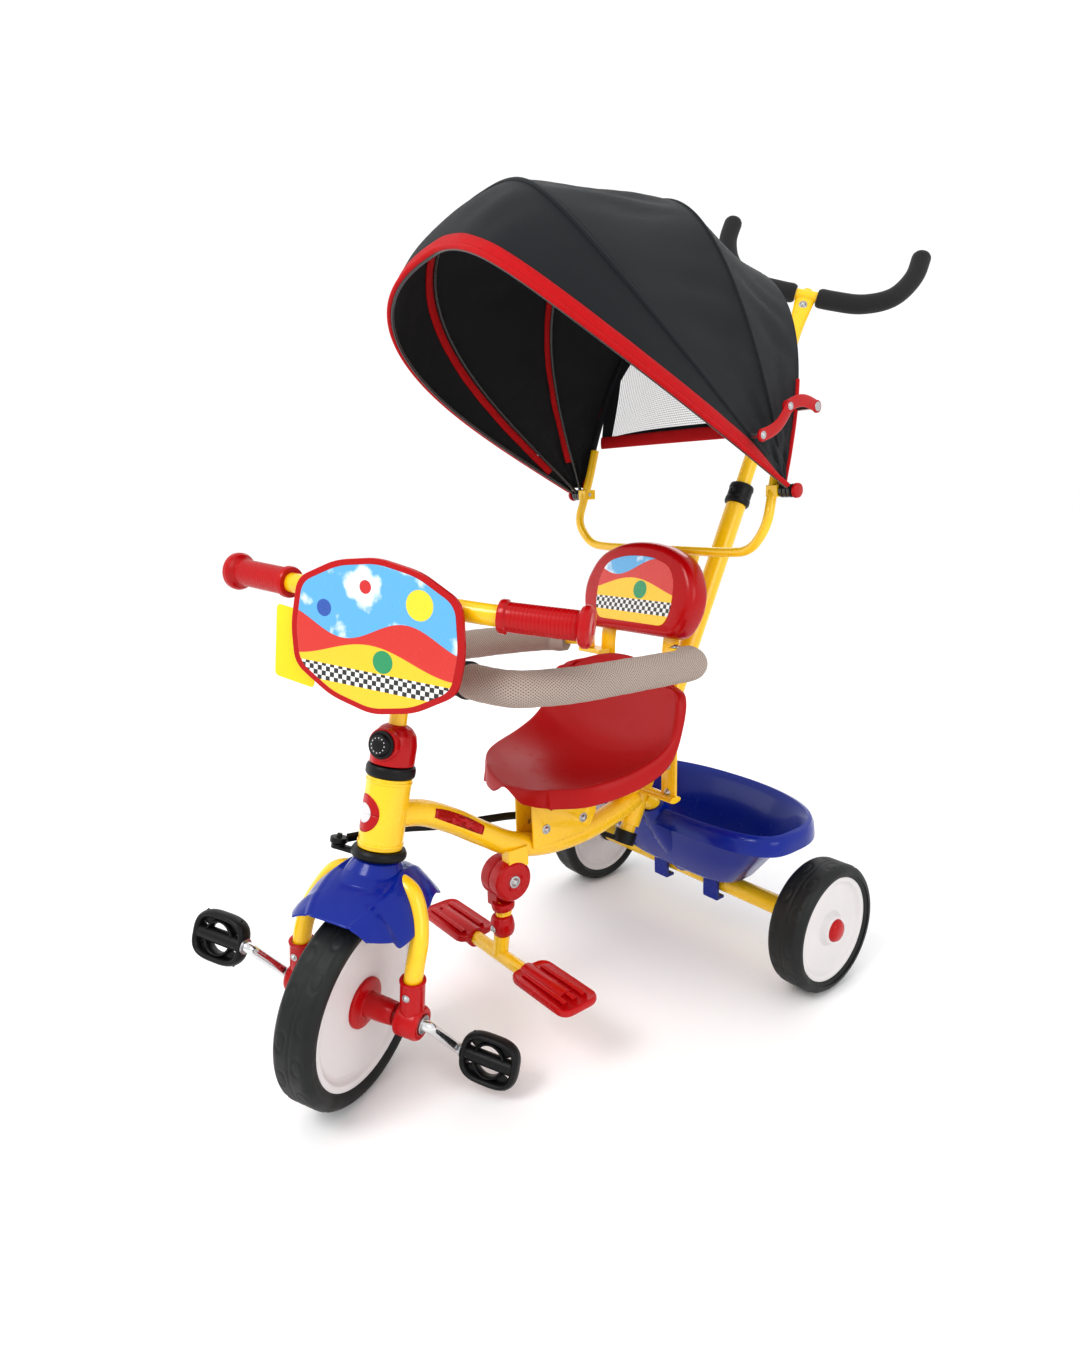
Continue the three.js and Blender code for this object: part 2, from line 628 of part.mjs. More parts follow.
/** Arm on the stem that reaches to the right, with the upright pin the drag rod turns on. */
function steeringArm() {
  const arm = block(STEERING_ARM_REACH, 15, 3, -STEERING_ARM_REACH / 2, 0, 161);
  const ring = disc(15, 159.5, 162.5, 18);
  const pin = disc(3, 159.5, 176, 10).translate(-STEERING_ARM_REACH, 0, 0);
  const boss = disc(8, 159.5, 164.5, 14).translate(-STEERING_ARM_REACH, 0, 0);
  const bore = disc(STEM_RADIUS + GAP + 0.1, 150, 170, 14);
  return ontoAxis(cut(join(arm, ring, pin, boss), bore), HEAD);
}

function addSteering() {
  const legs = [[1, 'left'], [-1, 'right']];
  addPiece(steering, 'steering_stem', stem(), PAINT);
  for (const [side, name] of legs) {
    addPiece(steering, `fork_leg_${name}`, cut(tube(legPath(side), LEG_RADIUS), crownSpace(GAP)), PAINT);
    addPiece(steering, `axle_bearing_${name}`, bearingEnd(side), RED);
    addPiece(steering, `handlebar_grip_${name}`, grip(side), RED);
  }
  addPiece(steering, 'mudguard', mudguard(), BLUE);
  addPiece(steering, 'head_cap', headCap(), RED);
  addPiece(steering, 'headlamp', headlamp(), BLACK);
  addPiece(steering, 'handlebar', handlebar(), PAINT);
  addPiece(steering, 'front_plaque', plaque(), RED);
  addPiece(steering, 'steering_arm', steeringArm(), BLACK);
}

// ---------------------------------------------------------------- parent handle and drag rod
/** Round inner tube, flattened at the top, with the steering lever clamped on its lower end. */
function pushTube() {
  const tubeBody = disc(PUSH_TUBE.radius, PUSH_TUBE.low, PUSH_TUBE.high - 62, 18);
  const flat = block(24, 9, 76, 0, 0, PUSH_TUBE.high - 38);
  const eye = disc(15, -4.5, 4.5, 18).rotateX(Math.PI / 2).translate(0, 0, PUSH_TUBE.high);
  const clamp = disc(15.5, PUSH_TUBE.low, 6, 18);
  const lever = block(LEVER_REACH, 14, 6, -LEVER_REACH / 2, 0, PUSH_TUBE.low + 3);
  const end = disc(9, PUSH_TUBE.low, PUSH_TUBE.low + 6, 14).translate(-LEVER_REACH, 0, 0);
  const pin = disc(3, PUSH_TUBE.low, PUSH_TUBE.low + 28, 10).translate(-LEVER_REACH, 0, 0);
  const bars = [1, -1].map((side) => tube(handleHalf(side, -2, 89), 8, 8));
  return ontoAxis(join(tubeBody, flat, eye, clamp, lever, end, pin, ...bars), POLE);
}

/** Half of the bar the parent holds, from the middle out to its upturned end. */
const handleCorners = [
  [16, 0], [40, 0], [82, 4], [120, 24], [139, 60], [141, 92],
];

function handleHalf(side, from, to) {
  const corners = handleCorners.map(([x, z]) => V(side * x, 0, PUSH_TUBE.high + z));
  corners[0].x = side * from;
  corners.at(-1).z = PUSH_TUBE.high + to;
  return smooth(corners, 7);
}

/** Foam sleeve over one half of the bar, closed over its end. */
function handleGrip(side) {
  const foam = tube(handleHalf(side, 16, 97), 13.5, 10);
  return ontoAxis(cut(foam, tube(handleHalf(side, 10, 90), 8.8, 8)), POLE);
}

const turnAboutAxis = (point, axis) => {
  const direction = onAxis(axis, 1).sub(onAxis(axis, 0));
  const foot = onAxis(axis, 0);
  return point.clone().sub(foot).applyAxisAngle(direction, rad(axis.turn)).add(foot);
};

/** Rod from the fork's arm back to the lever under the handle, with an eye on each pin. */
function dragRod() {
  const frontPin = turnAboutAxis(onAxis(HEAD, 169).add(V(-STEERING_ARM_REACH, 0, 0)), HEAD);
  const rearPin = turnAboutAxis(onAxis(POLE, 5).add(V(-LEVER_REACH, 0, 0)), POLE);
  const eye = (pin, axis, radius, bore) =>
    turned([[bore, -3], [radius, -3], [radius, 3], [bore, 3]], 16)
      .rotateX(-rad(axis.tilt)).translate(pin.x, pin.y, pin.z);
  const start = frontPin.clone().add(V(1, 9.5, -1));
  const stop = rearPin.clone().add(V(0, -12, 2));
  const way = [start, V(-38, 90, 282), V(-36, 150, 268), V(-36, 262, 252), V(-34, 330, 228), stop];
  const rod = tube(bent(way, 24, 2), 4.2, 6);
  return join(rod, eye(frontPin, HEAD, 10, 3.5), eye(rearPin, POLE, 13, 7));
}

function addHandle() {
  addPiece(handle, 'push_tube', pushTube(), PAINT);
  addPiece(handle, 'handle_grip_left', handleGrip(1), BLACK);
  addPiece(handle, 'handle_grip_right', handleGrip(-1), BLACK);
  addPiece(tricycle, 'drag_rod', dragRod(), BLACK);
}

// ---------------------------------------------------------------- folding footrest
/** Fixed half of the fold joint, on a lug below the main tube. */
function foldJointFixed() {
  const half = alongX(disc(DRUM.radius, 0.4, 21.5, 26)).translate(0, DRUM.y, DRUM.z);
  const lug = block(18, 34, 30, 11, DRUM.y + 8, DRUM.z + 30);
  return cut(join(half, lug), mainTubeOffset(GAP));
}

const legTube = (extra) =>
  tube([V(0, 211 + extra * 0.1, 161 + extra), V(0, FOOT_BAR.y, FOOT_BAR.z)], 10 + extra, 14);

/** Moving half, with the neck that carries the leg. */
function foldJointMoving() {
  const half = alongX(disc(DRUM.radius, -21.5, 0, 26)).translate(0, DRUM.y, DRUM.z);
  const neck = block(20.4, 22, 32, -10.8, DRUM.y - 4, DRUM.z - 25);
  const socket = turned([[0, 0], [14, 0], [15, 5], [14, 10], [0, 10]], 18)
    .rotateX(rad(7.5)).translate(0, 209, 152);
  return cut(join(half, neck, socket), legTube(GAP + 0.1));
}

/** Leg with the cross bar that the two foot plates slide onto. */
function footLeg() {
  const bar = alongX(disc(FOOT_BAR.radius, -126, 126, 16)).translate(0, FOOT_BAR.y, FOOT_BAR.z);
  const ball = [[0, -14], [10, -14], [13, -12], [15, -5], [15, 5], [13, 12], [10, 14], [0, 14]];
  const collar = turned(ball, 20).rotateX(rad(8)).translate(0, 206.5, 130);
  return join(legTube(0), bar, collar);
}

/** Ribbed foot plate with a boss round the cross bar. */
function footPlate(side) {
  const outline = roundedOutline([[-53, -28], [53, -28], [53, 28], [-53, 28]], 16);
  const plate = standingPlate(outline, 9, 2).rotateX(-Math.PI / 2).translate(105, 203, 97.5);
  const ribs = [-36, -12, 12, 36].map((x) => block(8, 42, 4, 105 + x, 203, 98));
  const boss = alongX(disc(13, 54, 130, 18)).translate(0, FOOT_BAR.y, FOOT_BAR.z);
  const bore = alongX(disc(FOOT_BAR.radius + GAP + 0.1, -130, 127, 16));
  bore.translate(0, FOOT_BAR.y, FOOT_BAR.z);
  const shape = cut(join(plate, boss, ...ribs), bore);
  return side > 0 ? shape : shape.scale(-1, 1, 1);
}

function addFootrest() {
  addPiece(tricycle, 'fold_joint_fixed', foldJointFixed(), RED);
  addPiece(tricycle, 'fold_joint_moving', foldJointMoving(), RED);
  addPiece(tricycle, 'footrest_leg', footLeg(), PAINT);
  addPiece(tricycle, 'foot_plate_left', footPlate(1), RED);
  addPiece(tricycle, 'foot_plate_right', footPlate(-1), RED);
}

// ---------------------------------------------------------------- basket
const BASKET_SIDES = 22;

/** One level of the basket: a wide oval, squarer at the front than at the rear. */
function basketRing(half, front, rear, z) {
  const widest = front + (rear - front) * 0.4;
  const ring = [];
  for (let i = 0; i < BASKET_SIDES; i += 1) {
    const t = (i / BASKET_SIDES) * 2 * Math.PI;
    const [c, s] = [Math.cos(t), Math.sin(t)];
    const reach = s > 0 ? rear - widest : widest - front;
    const squareness = s > 0 ? 0.9 : 0.5;
    const x = Math.sign(c) * half * Math.abs(c) ** (s > 0 ? 0.9 : 0.55);
    ring.push(V(x, widest + Math.sign(s) * reach * Math.abs(s) ** squareness, z));
  }
  return ring;
}

/** A closed solid through rings of equal count, its first and last ring filled in. */
function lofted(rings) {
  const sides = rings[0].length;
  const middle = (ring) => ring.reduce((a, p) => a.add(p), V(0, 0, 0)).divideScalar(sides);
  const points = [...rings.flat(), middle(rings[0]), middle(rings.at(-1))];
  const [first, last] = [points.length - 2, points.length - 1];
  const faces = [];
  for (let i = 0; i < sides; i += 1) {
    const j = (i + 1) % sides;
    for (let k = 0; k < rings.length - 1; k += 1) {
      const [a, b] = [k * sides, (k + 1) * sides];
      faces.push(a + i, a + j, b + j, a + i, b + j, b + i);
    }
    const end = (rings.length - 1) * sides;
    faces.push(first, j, i, last, end + i, end + j);
  }
  const geometry = new THREE.BufferGeometry().setFromPoints(points);
  geometry.setIndex(faces);
  return closed(geometry);
}

/** Open tub with a turned-down rim, a channel for the frame's stay and two hooks on the axle. */
function basket() {
  const tub = lofted([
    basketRing(90, 530, 617, 114), basketRing(104, 520, 626, 119), basketRing(180, 486, 652, 212),
    basketRing(189, 478, 661, 220), basketRing(199, 470, 670, 212), basketRing(201, 468, 672, 196),
    basketRing(198, 471, 669, 196), basketRing(193, 475, 664, 210), basketRing(184, 482, 656, 208),
    basketRing(107, 516, 630, 115), basketRing(90, 527, 620, 110),
  ]);
  const channelPath = stayPath.slice(1, -1).concat([V(0, 552, 110)]);
  const sleeve = sweep(channelPath, oval(23, 20, 10));
  const hooks = [1, -1].flatMap((side) => [
    block(26, 5, 44, side * 50, 551, 92),
    block(26, 12, 5, side * 50, 546, 111),
    block(26, 16, 4, side * 50, 557, 68.5),
  ]);
  const spaces = [0, 1, 2].map((n) =>
    sweep(stayPath, oval(19.2, 15.2, 10)).translate(0, -14 * n, -10 * n));
  const axle = alongX(disc(14 + 2 * GAP, -120, 120, 16)).translate(0, WHEELBASE, REAR.radius);
  return cut(join(tub, sleeve, ...hooks), ...spaces, axle);
}

// ---------------------------------------------------------------- canopy
/** The bow's half circle squared off, as [x, distance from the pivot axis], evenly spaced. */
function bowOutline(half, height, square) {
  const power = 2 / square;
  const points = [];
  for (let i = 0; i <= 180; i += 1) {
    const t = (i / 180) * Math.PI;
    const x = half * Math.sign(Math.cos(t)) * Math.abs(Math.cos(t)) ** power;
    points.push(V(x, height * Math.sin(t) ** power, 0));
  }
  return new THREE.CatmullRomCurve3(points);
}

/** A point of the fan of bows, raised above the cloth line by a given amount. */
function fanPoint({ side, lift, half, height }, x, reach) {
  const angle = rad(side + lift * (1 - Math.abs(x / half) ** 1.4));
  return V(x, HOOD.y - reach * Math.cos(angle), HOOD.z + reach * Math.sin(angle));
}

const smoothStations = (bow, extra, steps, start) => {
  const outline = bowOutline(bow.half + extra, bow.height + extra, bow.square);
  const points = [];
  for (let i = 0; i <= steps; i += 1) {
    const t = start + (1 - 2 * start) * (i / steps);
    points.push(outline.getPointAt(t));
  }
  return points;
};

const bowTube = (bow) =>
  tube(smoothStations(bow, 0, 20, 0.004).map((p) => fanPoint(bow, p.x, p.y)), BOW_RADIUS, 6);

/** Hoop of the canopy with an eye at each end on the pivot pins. */
function bow(bowSize) {
  const eyes = [1, -1].map((side) => {
    const eye = alongX(disc(8, -BOW_RADIUS, BOW_RADIUS, 10));
    return eye.translate(side * bowSize.half, HOOD.y, HOOD.z);
  });
  const pins = alongX(disc(3.4, -230, 230, 12)).translate(0, HOOD.y, HOOD.z);
  return cut(join(bowTube(bowSize), ...eyes), pins);
}

/** Tube behind the backrest that carries the canopy's rear hoop and its two pivot pins. */
function canopyBracket() {
  const left = [
    V(166, 526, 722), V(167, 514, 678), V(172, 494, 616), V(146, 497, 586), V(110, 498.5, 583),
  ];
  const bar = tube(bent([...left, ...mirrored(left).reverse()], 20, 2), 6);
  const pins = [1, -1].flatMap((side) => [
    alongX(disc(3, -18, 18, 8)).translate(side * 184, HOOD.y, HOOD.z),
    alongX(disc(8, -2.2, 2.2, 12)).translate(side * 199.8, HOOD.y, HOOD.z),
    block(16, 20, 14, side * 170.5, HOOD.y + 1, HOOD.z),
  ]);
  return join(bar, bowTube(BOWS.rear), ...pins);
}

/** Cloth between two hoops, lying outside them, sagging a little between. */
function canopyPanel(lower, upper, along, sag) {
  const extra = BOW_RADIUS + FABRIC / 2 + 1.2;
  const steps = 20;
  const [a, b] = [lower, upper].map((b0) => smoothStations(b0, extra, steps, 0.042));
  const pick = (list, u) => {
    const i = Math.min(Math.floor(u * steps), steps - 1);
    return list[i].clone().lerp(list[i + 1], u * steps - i);
  };
  const size = (v, key) => lower[key] + (upper[key] - lower[key]) * v;
  const surface = (u, v0) => {
    const v = 0.012 + v0 * 0.976;
    const p = pick(a, u).lerp(pick(b, u), v);
    const middle = Math.sin(Math.PI * u);
    const reach = p.y - sag * middle * Math.sin(Math.PI * v);
    const fan = { side: size(v, 'side'), lift: size(v, 'lift'), half: size(v, 'half') + extra };
    return fanPoint(fan, p.x, reach);
  };
  return sheet(surface, FABRIC, steps, along);
}

/** Cloth closing the rear hoop down to its lower band, bellied backwards. */
function canopyBack() {
  const { half, height, side, square } = BOWS.rear;
  const [w, h] = [half - BOW_RADIUS - 2.5, height - BOW_RADIUS - 2.5];
  const surface = (u, v) => {
    const t = (2 * u - 1) * 0.94;
    const x = w * t;
    const top = h * (1 - Math.abs(t) ** square) ** (1 / square);
    const reach = 84 + (top - 84) * v;
    const belly = 14 * Math.sin(Math.PI * u) * Math.sin(Math.PI * v);
    const angle = rad(side - (1 - t * t));
    const y = HOOD.y - reach * Math.cos(angle) + belly;
    return V(x, y + 6 * (1 - v), HOOD.z + reach * Math.sin(angle));
  };
  return sheet(surface, FABRIC, 12, 5);
}

const STAY = { reach: 98, link: 57, x: 203.5 };

/** One of the two hinged links that hold the canopy open, in the plane beside it. */
function link(from, to, x, side) {
  const length = from.distanceTo(to);
  const bar = block(3, length, 9, 0, length / 2, 0);
  const ends = [0, length].map((y) => alongX(disc(6.5, -1.5, 1.5, 14)).translate(0, y, 0));
  const angle = Math.atan2(to.z - from.z, to.y - from.y);
  return join(bar, ...ends).rotateX(angle).translate(side * x, from.y, from.z);
}

function stays() {
  const at = (angle) => V(0, HOOD.y - STAY.reach * Math.cos(rad(angle)),
    HOOD.z + STAY.reach * Math.sin(rad(angle)));
  const rear = at(BOWS.rear.side);
  const front = at(BOWS.second.side);
  const middle = rear.clone().add(front).multiplyScalar(0.5);
  const half = rear.distanceTo(front) / 2;
  const up = V(0, -(front.z - rear.z), front.y - rear.y).normalize().multiplyScalar(-1);
  middle.addScaledVector(up, Math.sqrt(STAY.link ** 2 - half ** 2));
  return { rear, front, middle };
}

function addCanopy() {
  addPiece(tricycle, 'canopy_bracket', canopyBracket(), PAINT);
  addPiece(tricycle, 'canopy_bow_front', bow(BOWS.front), BLACK);
  addPiece(tricycle, 'canopy_bow_second', bow(BOWS.second), BLACK);
  addPiece(tricycle, 'canopy_bow_third', bow(BOWS.third), BLACK);
  addPiece(tricycle, 'canopy_brim', canopyPanel(BOWS.front, BOWS.second, 2, 0), CLOTH);
  addPiece(tricycle, 'canopy_top', canopyPanel(BOWS.second, BOWS.third, 4, 14), CLOTH);
  addPiece(tricycle, 'canopy_rear_top', canopyPanel(BOWS.third, BOWS.rear, 4, 4), CLOTH);
  addPiece(tricycle, 'canopy_back', canopyBack(), CLOTH);
  const { rear, front, middle } = stays();
  for (const [side, name] of [[1, 'left'], [-1, 'right']]) {
    addPiece(tricycle, `canopy_stay_rear_${name}`, link(rear, middle, STAY.x, side), RED);
    addPiece(tricycle, `canopy_stay_front_${name}`, link(middle, front, STAY.x + 3.4, side), RED);
  }
}

// ---------------------------------------------------------------- assembly
addFrontWheel();
addRearWheels();
addFrame();
addCollars();
addSeat();
addGuard();
addSteering();
addHandle();
addFootrest();
addPiece(tricycle, 'basket', basket(), BLUE);
addCanopy();

export default tricycle;
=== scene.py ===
import json
import math

import bmesh
import bpy
import numpy as np
from mathutils import Matrix, Vector
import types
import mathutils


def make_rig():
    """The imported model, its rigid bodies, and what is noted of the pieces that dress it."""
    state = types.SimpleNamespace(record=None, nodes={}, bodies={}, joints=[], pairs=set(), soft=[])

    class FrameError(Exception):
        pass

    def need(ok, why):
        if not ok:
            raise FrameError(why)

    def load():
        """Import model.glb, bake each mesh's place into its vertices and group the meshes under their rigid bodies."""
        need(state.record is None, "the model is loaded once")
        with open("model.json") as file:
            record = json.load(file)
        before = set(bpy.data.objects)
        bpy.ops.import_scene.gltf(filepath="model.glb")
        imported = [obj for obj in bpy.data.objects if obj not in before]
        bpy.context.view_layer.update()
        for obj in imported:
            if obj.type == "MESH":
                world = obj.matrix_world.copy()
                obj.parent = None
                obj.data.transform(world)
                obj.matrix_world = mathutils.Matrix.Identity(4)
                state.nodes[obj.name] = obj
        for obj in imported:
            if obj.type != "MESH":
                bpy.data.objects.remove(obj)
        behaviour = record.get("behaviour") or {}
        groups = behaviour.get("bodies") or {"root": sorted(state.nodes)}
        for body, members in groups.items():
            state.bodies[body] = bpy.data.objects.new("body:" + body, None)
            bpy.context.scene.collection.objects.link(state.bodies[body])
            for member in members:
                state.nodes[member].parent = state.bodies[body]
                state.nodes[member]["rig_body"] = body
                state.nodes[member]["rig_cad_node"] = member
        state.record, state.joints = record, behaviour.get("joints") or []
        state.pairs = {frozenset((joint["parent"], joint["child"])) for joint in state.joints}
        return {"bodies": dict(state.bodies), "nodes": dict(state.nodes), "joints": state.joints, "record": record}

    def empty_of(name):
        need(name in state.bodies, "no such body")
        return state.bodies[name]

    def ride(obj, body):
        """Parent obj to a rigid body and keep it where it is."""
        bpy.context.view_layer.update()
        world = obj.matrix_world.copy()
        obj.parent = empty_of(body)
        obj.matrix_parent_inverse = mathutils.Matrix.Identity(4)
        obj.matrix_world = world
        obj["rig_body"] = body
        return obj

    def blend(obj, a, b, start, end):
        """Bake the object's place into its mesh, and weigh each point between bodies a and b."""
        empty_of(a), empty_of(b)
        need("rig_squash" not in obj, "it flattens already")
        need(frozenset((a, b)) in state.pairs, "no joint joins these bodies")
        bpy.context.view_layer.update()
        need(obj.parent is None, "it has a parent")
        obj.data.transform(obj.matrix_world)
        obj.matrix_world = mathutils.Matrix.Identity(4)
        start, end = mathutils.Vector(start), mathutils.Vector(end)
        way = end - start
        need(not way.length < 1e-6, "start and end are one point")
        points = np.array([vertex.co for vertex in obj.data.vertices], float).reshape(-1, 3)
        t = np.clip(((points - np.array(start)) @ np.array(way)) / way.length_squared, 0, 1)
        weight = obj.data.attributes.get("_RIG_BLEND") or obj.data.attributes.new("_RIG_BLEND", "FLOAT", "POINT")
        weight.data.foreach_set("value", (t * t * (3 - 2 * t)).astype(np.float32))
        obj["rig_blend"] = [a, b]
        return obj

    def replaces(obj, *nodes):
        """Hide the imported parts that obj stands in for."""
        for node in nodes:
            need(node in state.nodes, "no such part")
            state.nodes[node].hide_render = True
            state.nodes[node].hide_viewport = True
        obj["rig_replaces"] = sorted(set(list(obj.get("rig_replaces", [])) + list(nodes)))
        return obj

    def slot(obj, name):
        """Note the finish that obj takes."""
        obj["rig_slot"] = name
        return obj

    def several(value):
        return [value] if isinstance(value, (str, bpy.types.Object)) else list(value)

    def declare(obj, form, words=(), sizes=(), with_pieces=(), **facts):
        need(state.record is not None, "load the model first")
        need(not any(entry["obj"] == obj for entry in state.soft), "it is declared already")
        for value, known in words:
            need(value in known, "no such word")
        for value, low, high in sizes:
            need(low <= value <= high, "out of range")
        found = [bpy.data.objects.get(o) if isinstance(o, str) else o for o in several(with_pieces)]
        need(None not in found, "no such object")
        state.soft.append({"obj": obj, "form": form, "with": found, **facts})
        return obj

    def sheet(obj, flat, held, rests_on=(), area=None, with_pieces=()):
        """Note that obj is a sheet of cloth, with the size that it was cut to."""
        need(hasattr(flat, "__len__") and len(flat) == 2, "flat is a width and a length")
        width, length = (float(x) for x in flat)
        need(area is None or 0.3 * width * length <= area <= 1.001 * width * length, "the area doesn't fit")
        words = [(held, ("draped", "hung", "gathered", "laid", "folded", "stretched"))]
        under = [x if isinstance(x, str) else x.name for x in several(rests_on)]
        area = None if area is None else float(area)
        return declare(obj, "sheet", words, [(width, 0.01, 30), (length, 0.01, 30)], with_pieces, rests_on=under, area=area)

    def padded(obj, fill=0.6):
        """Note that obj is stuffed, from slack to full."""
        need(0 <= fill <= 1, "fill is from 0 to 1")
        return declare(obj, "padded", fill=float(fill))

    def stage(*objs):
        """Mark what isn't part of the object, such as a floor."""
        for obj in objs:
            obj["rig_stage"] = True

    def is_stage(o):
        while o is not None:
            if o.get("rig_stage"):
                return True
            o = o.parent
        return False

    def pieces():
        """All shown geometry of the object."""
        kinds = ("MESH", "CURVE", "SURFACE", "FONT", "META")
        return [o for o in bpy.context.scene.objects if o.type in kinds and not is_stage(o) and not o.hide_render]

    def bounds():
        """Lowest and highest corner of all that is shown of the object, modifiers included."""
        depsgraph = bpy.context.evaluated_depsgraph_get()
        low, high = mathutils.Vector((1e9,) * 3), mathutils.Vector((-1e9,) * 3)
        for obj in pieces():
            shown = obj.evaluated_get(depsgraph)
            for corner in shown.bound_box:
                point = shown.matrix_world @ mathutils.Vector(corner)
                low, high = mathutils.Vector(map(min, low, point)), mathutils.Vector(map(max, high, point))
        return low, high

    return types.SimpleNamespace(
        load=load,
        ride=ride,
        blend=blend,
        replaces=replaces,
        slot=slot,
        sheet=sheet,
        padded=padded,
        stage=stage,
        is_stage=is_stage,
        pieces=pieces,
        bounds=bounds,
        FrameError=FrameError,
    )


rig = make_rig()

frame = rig.load()
nodes = frame["nodes"]
start_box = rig.bounds()

# ---- sizes, in millimetres
CENTRE = 400
MM = Matrix.Scale(0.001, 4) @ Matrix.Translation((0, -CENTRE, 0))
HEAD = dict(foot=(0, 4.1, 115.6), tilt=13.55, turn=28.7)
POLE = dict(foot=(0, 423.5, 188), tilt=26.9, turn=37.3)
HOOD_Y, HOOD_Z = 511, 658
FRONT_R, FRONT_TREAD, REAR_R, REAR_Y = 115, 114.3, 88, 571
BAR_Y, BAR_Z, BAR_BEND = 59.2, 563.4, 115  # handlebar, steered straight: its line and where it bends
GUARD_X, GUARD_Y = 84, 433  # pivot of each half of the safety ring
POST_X = 59  # backrest posts
ARM_X = -42.8  # end of the parent handle's steering arm
SIDES = ((1, "left"), (-1, "right"))


def axis_of(a):
    t = math.radians(a["tilt"])
    return Vector((0, math.sin(t), math.cos(t)))


def onto(a):
    return Matrix.Translation(a["foot"]) @ Matrix.Rotation(-math.radians(a["tilt"]), 4, "X")


def turned_with(a):
    spin = Matrix.Rotation(math.radians(a["turn"]), 4, axis_of(a))
    foot = Matrix.Translation(a["foot"])
    return foot @ spin @ foot.inverted()


STEER, HANDLE = turned_with(HEAD), turned_with(POLE)
ROOT = Matrix.Identity(4)

# ---- camera, lights, floor


def look(yaw, pitch, roll):
    """How the camera is turned: round Z, down and about its own axis, in degrees."""
    a, e, r = (math.radians(v) for v in (yaw, pitch, roll))
    ahead = Vector((-math.sin(a) * math.cos(e), math.cos(a) * math.cos(e), -math.sin(e)))
    right = Vector((math.cos(a), math.sin(a), 0))
    up = right.cross(ahead)
    across = right * math.cos(r) + up * math.sin(r)
    above = up * math.cos(r) - right * math.sin(r)
    return Matrix((across, above, -ahead)).transposed().to_4x4()


EYE = (0.7862, -0.7363, 0.6664)
YAW, PITCH, ROLL = 51.974, 12.624, -1.682
FILM, LENS = 36, 21.96
camera = bpy.data.objects.new("camera", bpy.data.cameras.new("camera"))
bpy.context.scene.collection.objects.link(camera)
camera.matrix_world = Matrix.Translation(EYE) @ look(YAW, PITCH, ROLL)
camera.data.sensor_fit = "VERTICAL"
camera.data.sensor_height = FILM
camera.data.lens = LENS
camera.data.clip_start = 0.02
bpy.context.scene.camera = camera


def area_light(name, place, target, size, power):
    data = bpy.data.lights.new(name, "AREA")
    data.shape, data.size, data.energy = "DISK", size, power
    light = bpy.data.objects.new(name, data)
    light.location = place
    light.rotation_euler = (Vector(target) - Vector(place)).to_track_quat("-Z", "Y").to_euler()
    bpy.context.scene.collection.objects.link(light)


area_light("key", (0.2, -2.2, 2.6), (0, 0, 0.4), 1.2, 30)
area_light("side", (2.6, -0.1, 1.5), (0, 0, 0.4), 1.6, 13)
area_light("back", (-1.6, 2.2, 2.2), (0, 0, 0.5), 1.8, 12)
area_light("low_fill", (-1.9, -1.5, 0.7), (0, 0, 0.4), 1.6, 5)
world = bpy.data.worlds.new("studio")
world.use_nodes = True
background = world.node_tree.nodes["Background"].inputs
background[0].default_value = (1, 1, 1, 1)
background[1].default_value = 1.04
bpy.context.scene.world = world
bpy.context.scene.view_settings.view_transform = "Standard"
bpy.context.scene.view_settings.gamma = 0.86

# ---- materials


class Nodes:
    """A material's node tree, with short ways to add nodes and join them."""

    def __init__(self, name):
        self.material = bpy.data.materials.new(name)
        self.material.use_nodes = True
        self.tree = self.material.node_tree
        self.shader = self.tree.nodes["Principled BSDF"]

    def feed(self, socket, value):
        """Join another node's output to the socket, or set the socket to a plain value."""
        if isinstance(value, bpy.types.NodeSocket):
            self.tree.links.new(value, socket)
        else:
            socket.default_value = value

    def add(self, kind, inputs, **settings):
        node = self.tree.nodes.new("ShaderNode" + kind)
        for key, value in settings.items():
            setattr(node, key, value)
        for key, value in inputs.items():
            self.feed(node.inputs[key], value)
        return node

    def set(self, **values):
        for key, value in values.items():
            self.feed(self.shader.inputs[key.replace("_", " ")], value)

    def place(self):
        return self.add("TexCoord", {}).outputs["Object"]

    def uv(self):
        return self.add("UVMap", {}).outputs[0]

    def noise(self, scale, detail):
        inputs = {"Vector": self.place(), "Scale": scale, "Detail": detail}
        return self.add("TexNoise", inputs).outputs["Fac"]

    def math(self, operation, a, b=0.0):
        return self.add("Math", {0: a, 1: b}, operation=operation).outputs[0]

    def sine(self, value, times):
        return self.math("SINE", self.math("MULTIPLY", value, times))

    def span(self, value, low, high, to_low=0.0, to_high=1.0):
        inputs = {0: value, 1: low, 2: high, 3: to_low, 4: to_high}
        return self.add("MapRange", inputs).outputs[0]

    def mix(self, factor, a, b):
        a, b = (c if isinstance(c, bpy.types.NodeSocket) else (*c[:3], 1) for c in (a, b))
        return self.add("Mix", {0: factor, 6: a, 7: b}, data_type="RGBA").outputs[2]

    def bump(self, height, strength, distance):
        inputs = {"Height": height, "Strength": strength, "Distance": distance}
        self.set(Normal=self.add("Bump", inputs).outputs[0])

    def parts(self, vector):
        return self.add("SeparateXYZ", {0: vector}).outputs


def shade(color, amount):
    return tuple(min(c * amount, 1) for c in color)


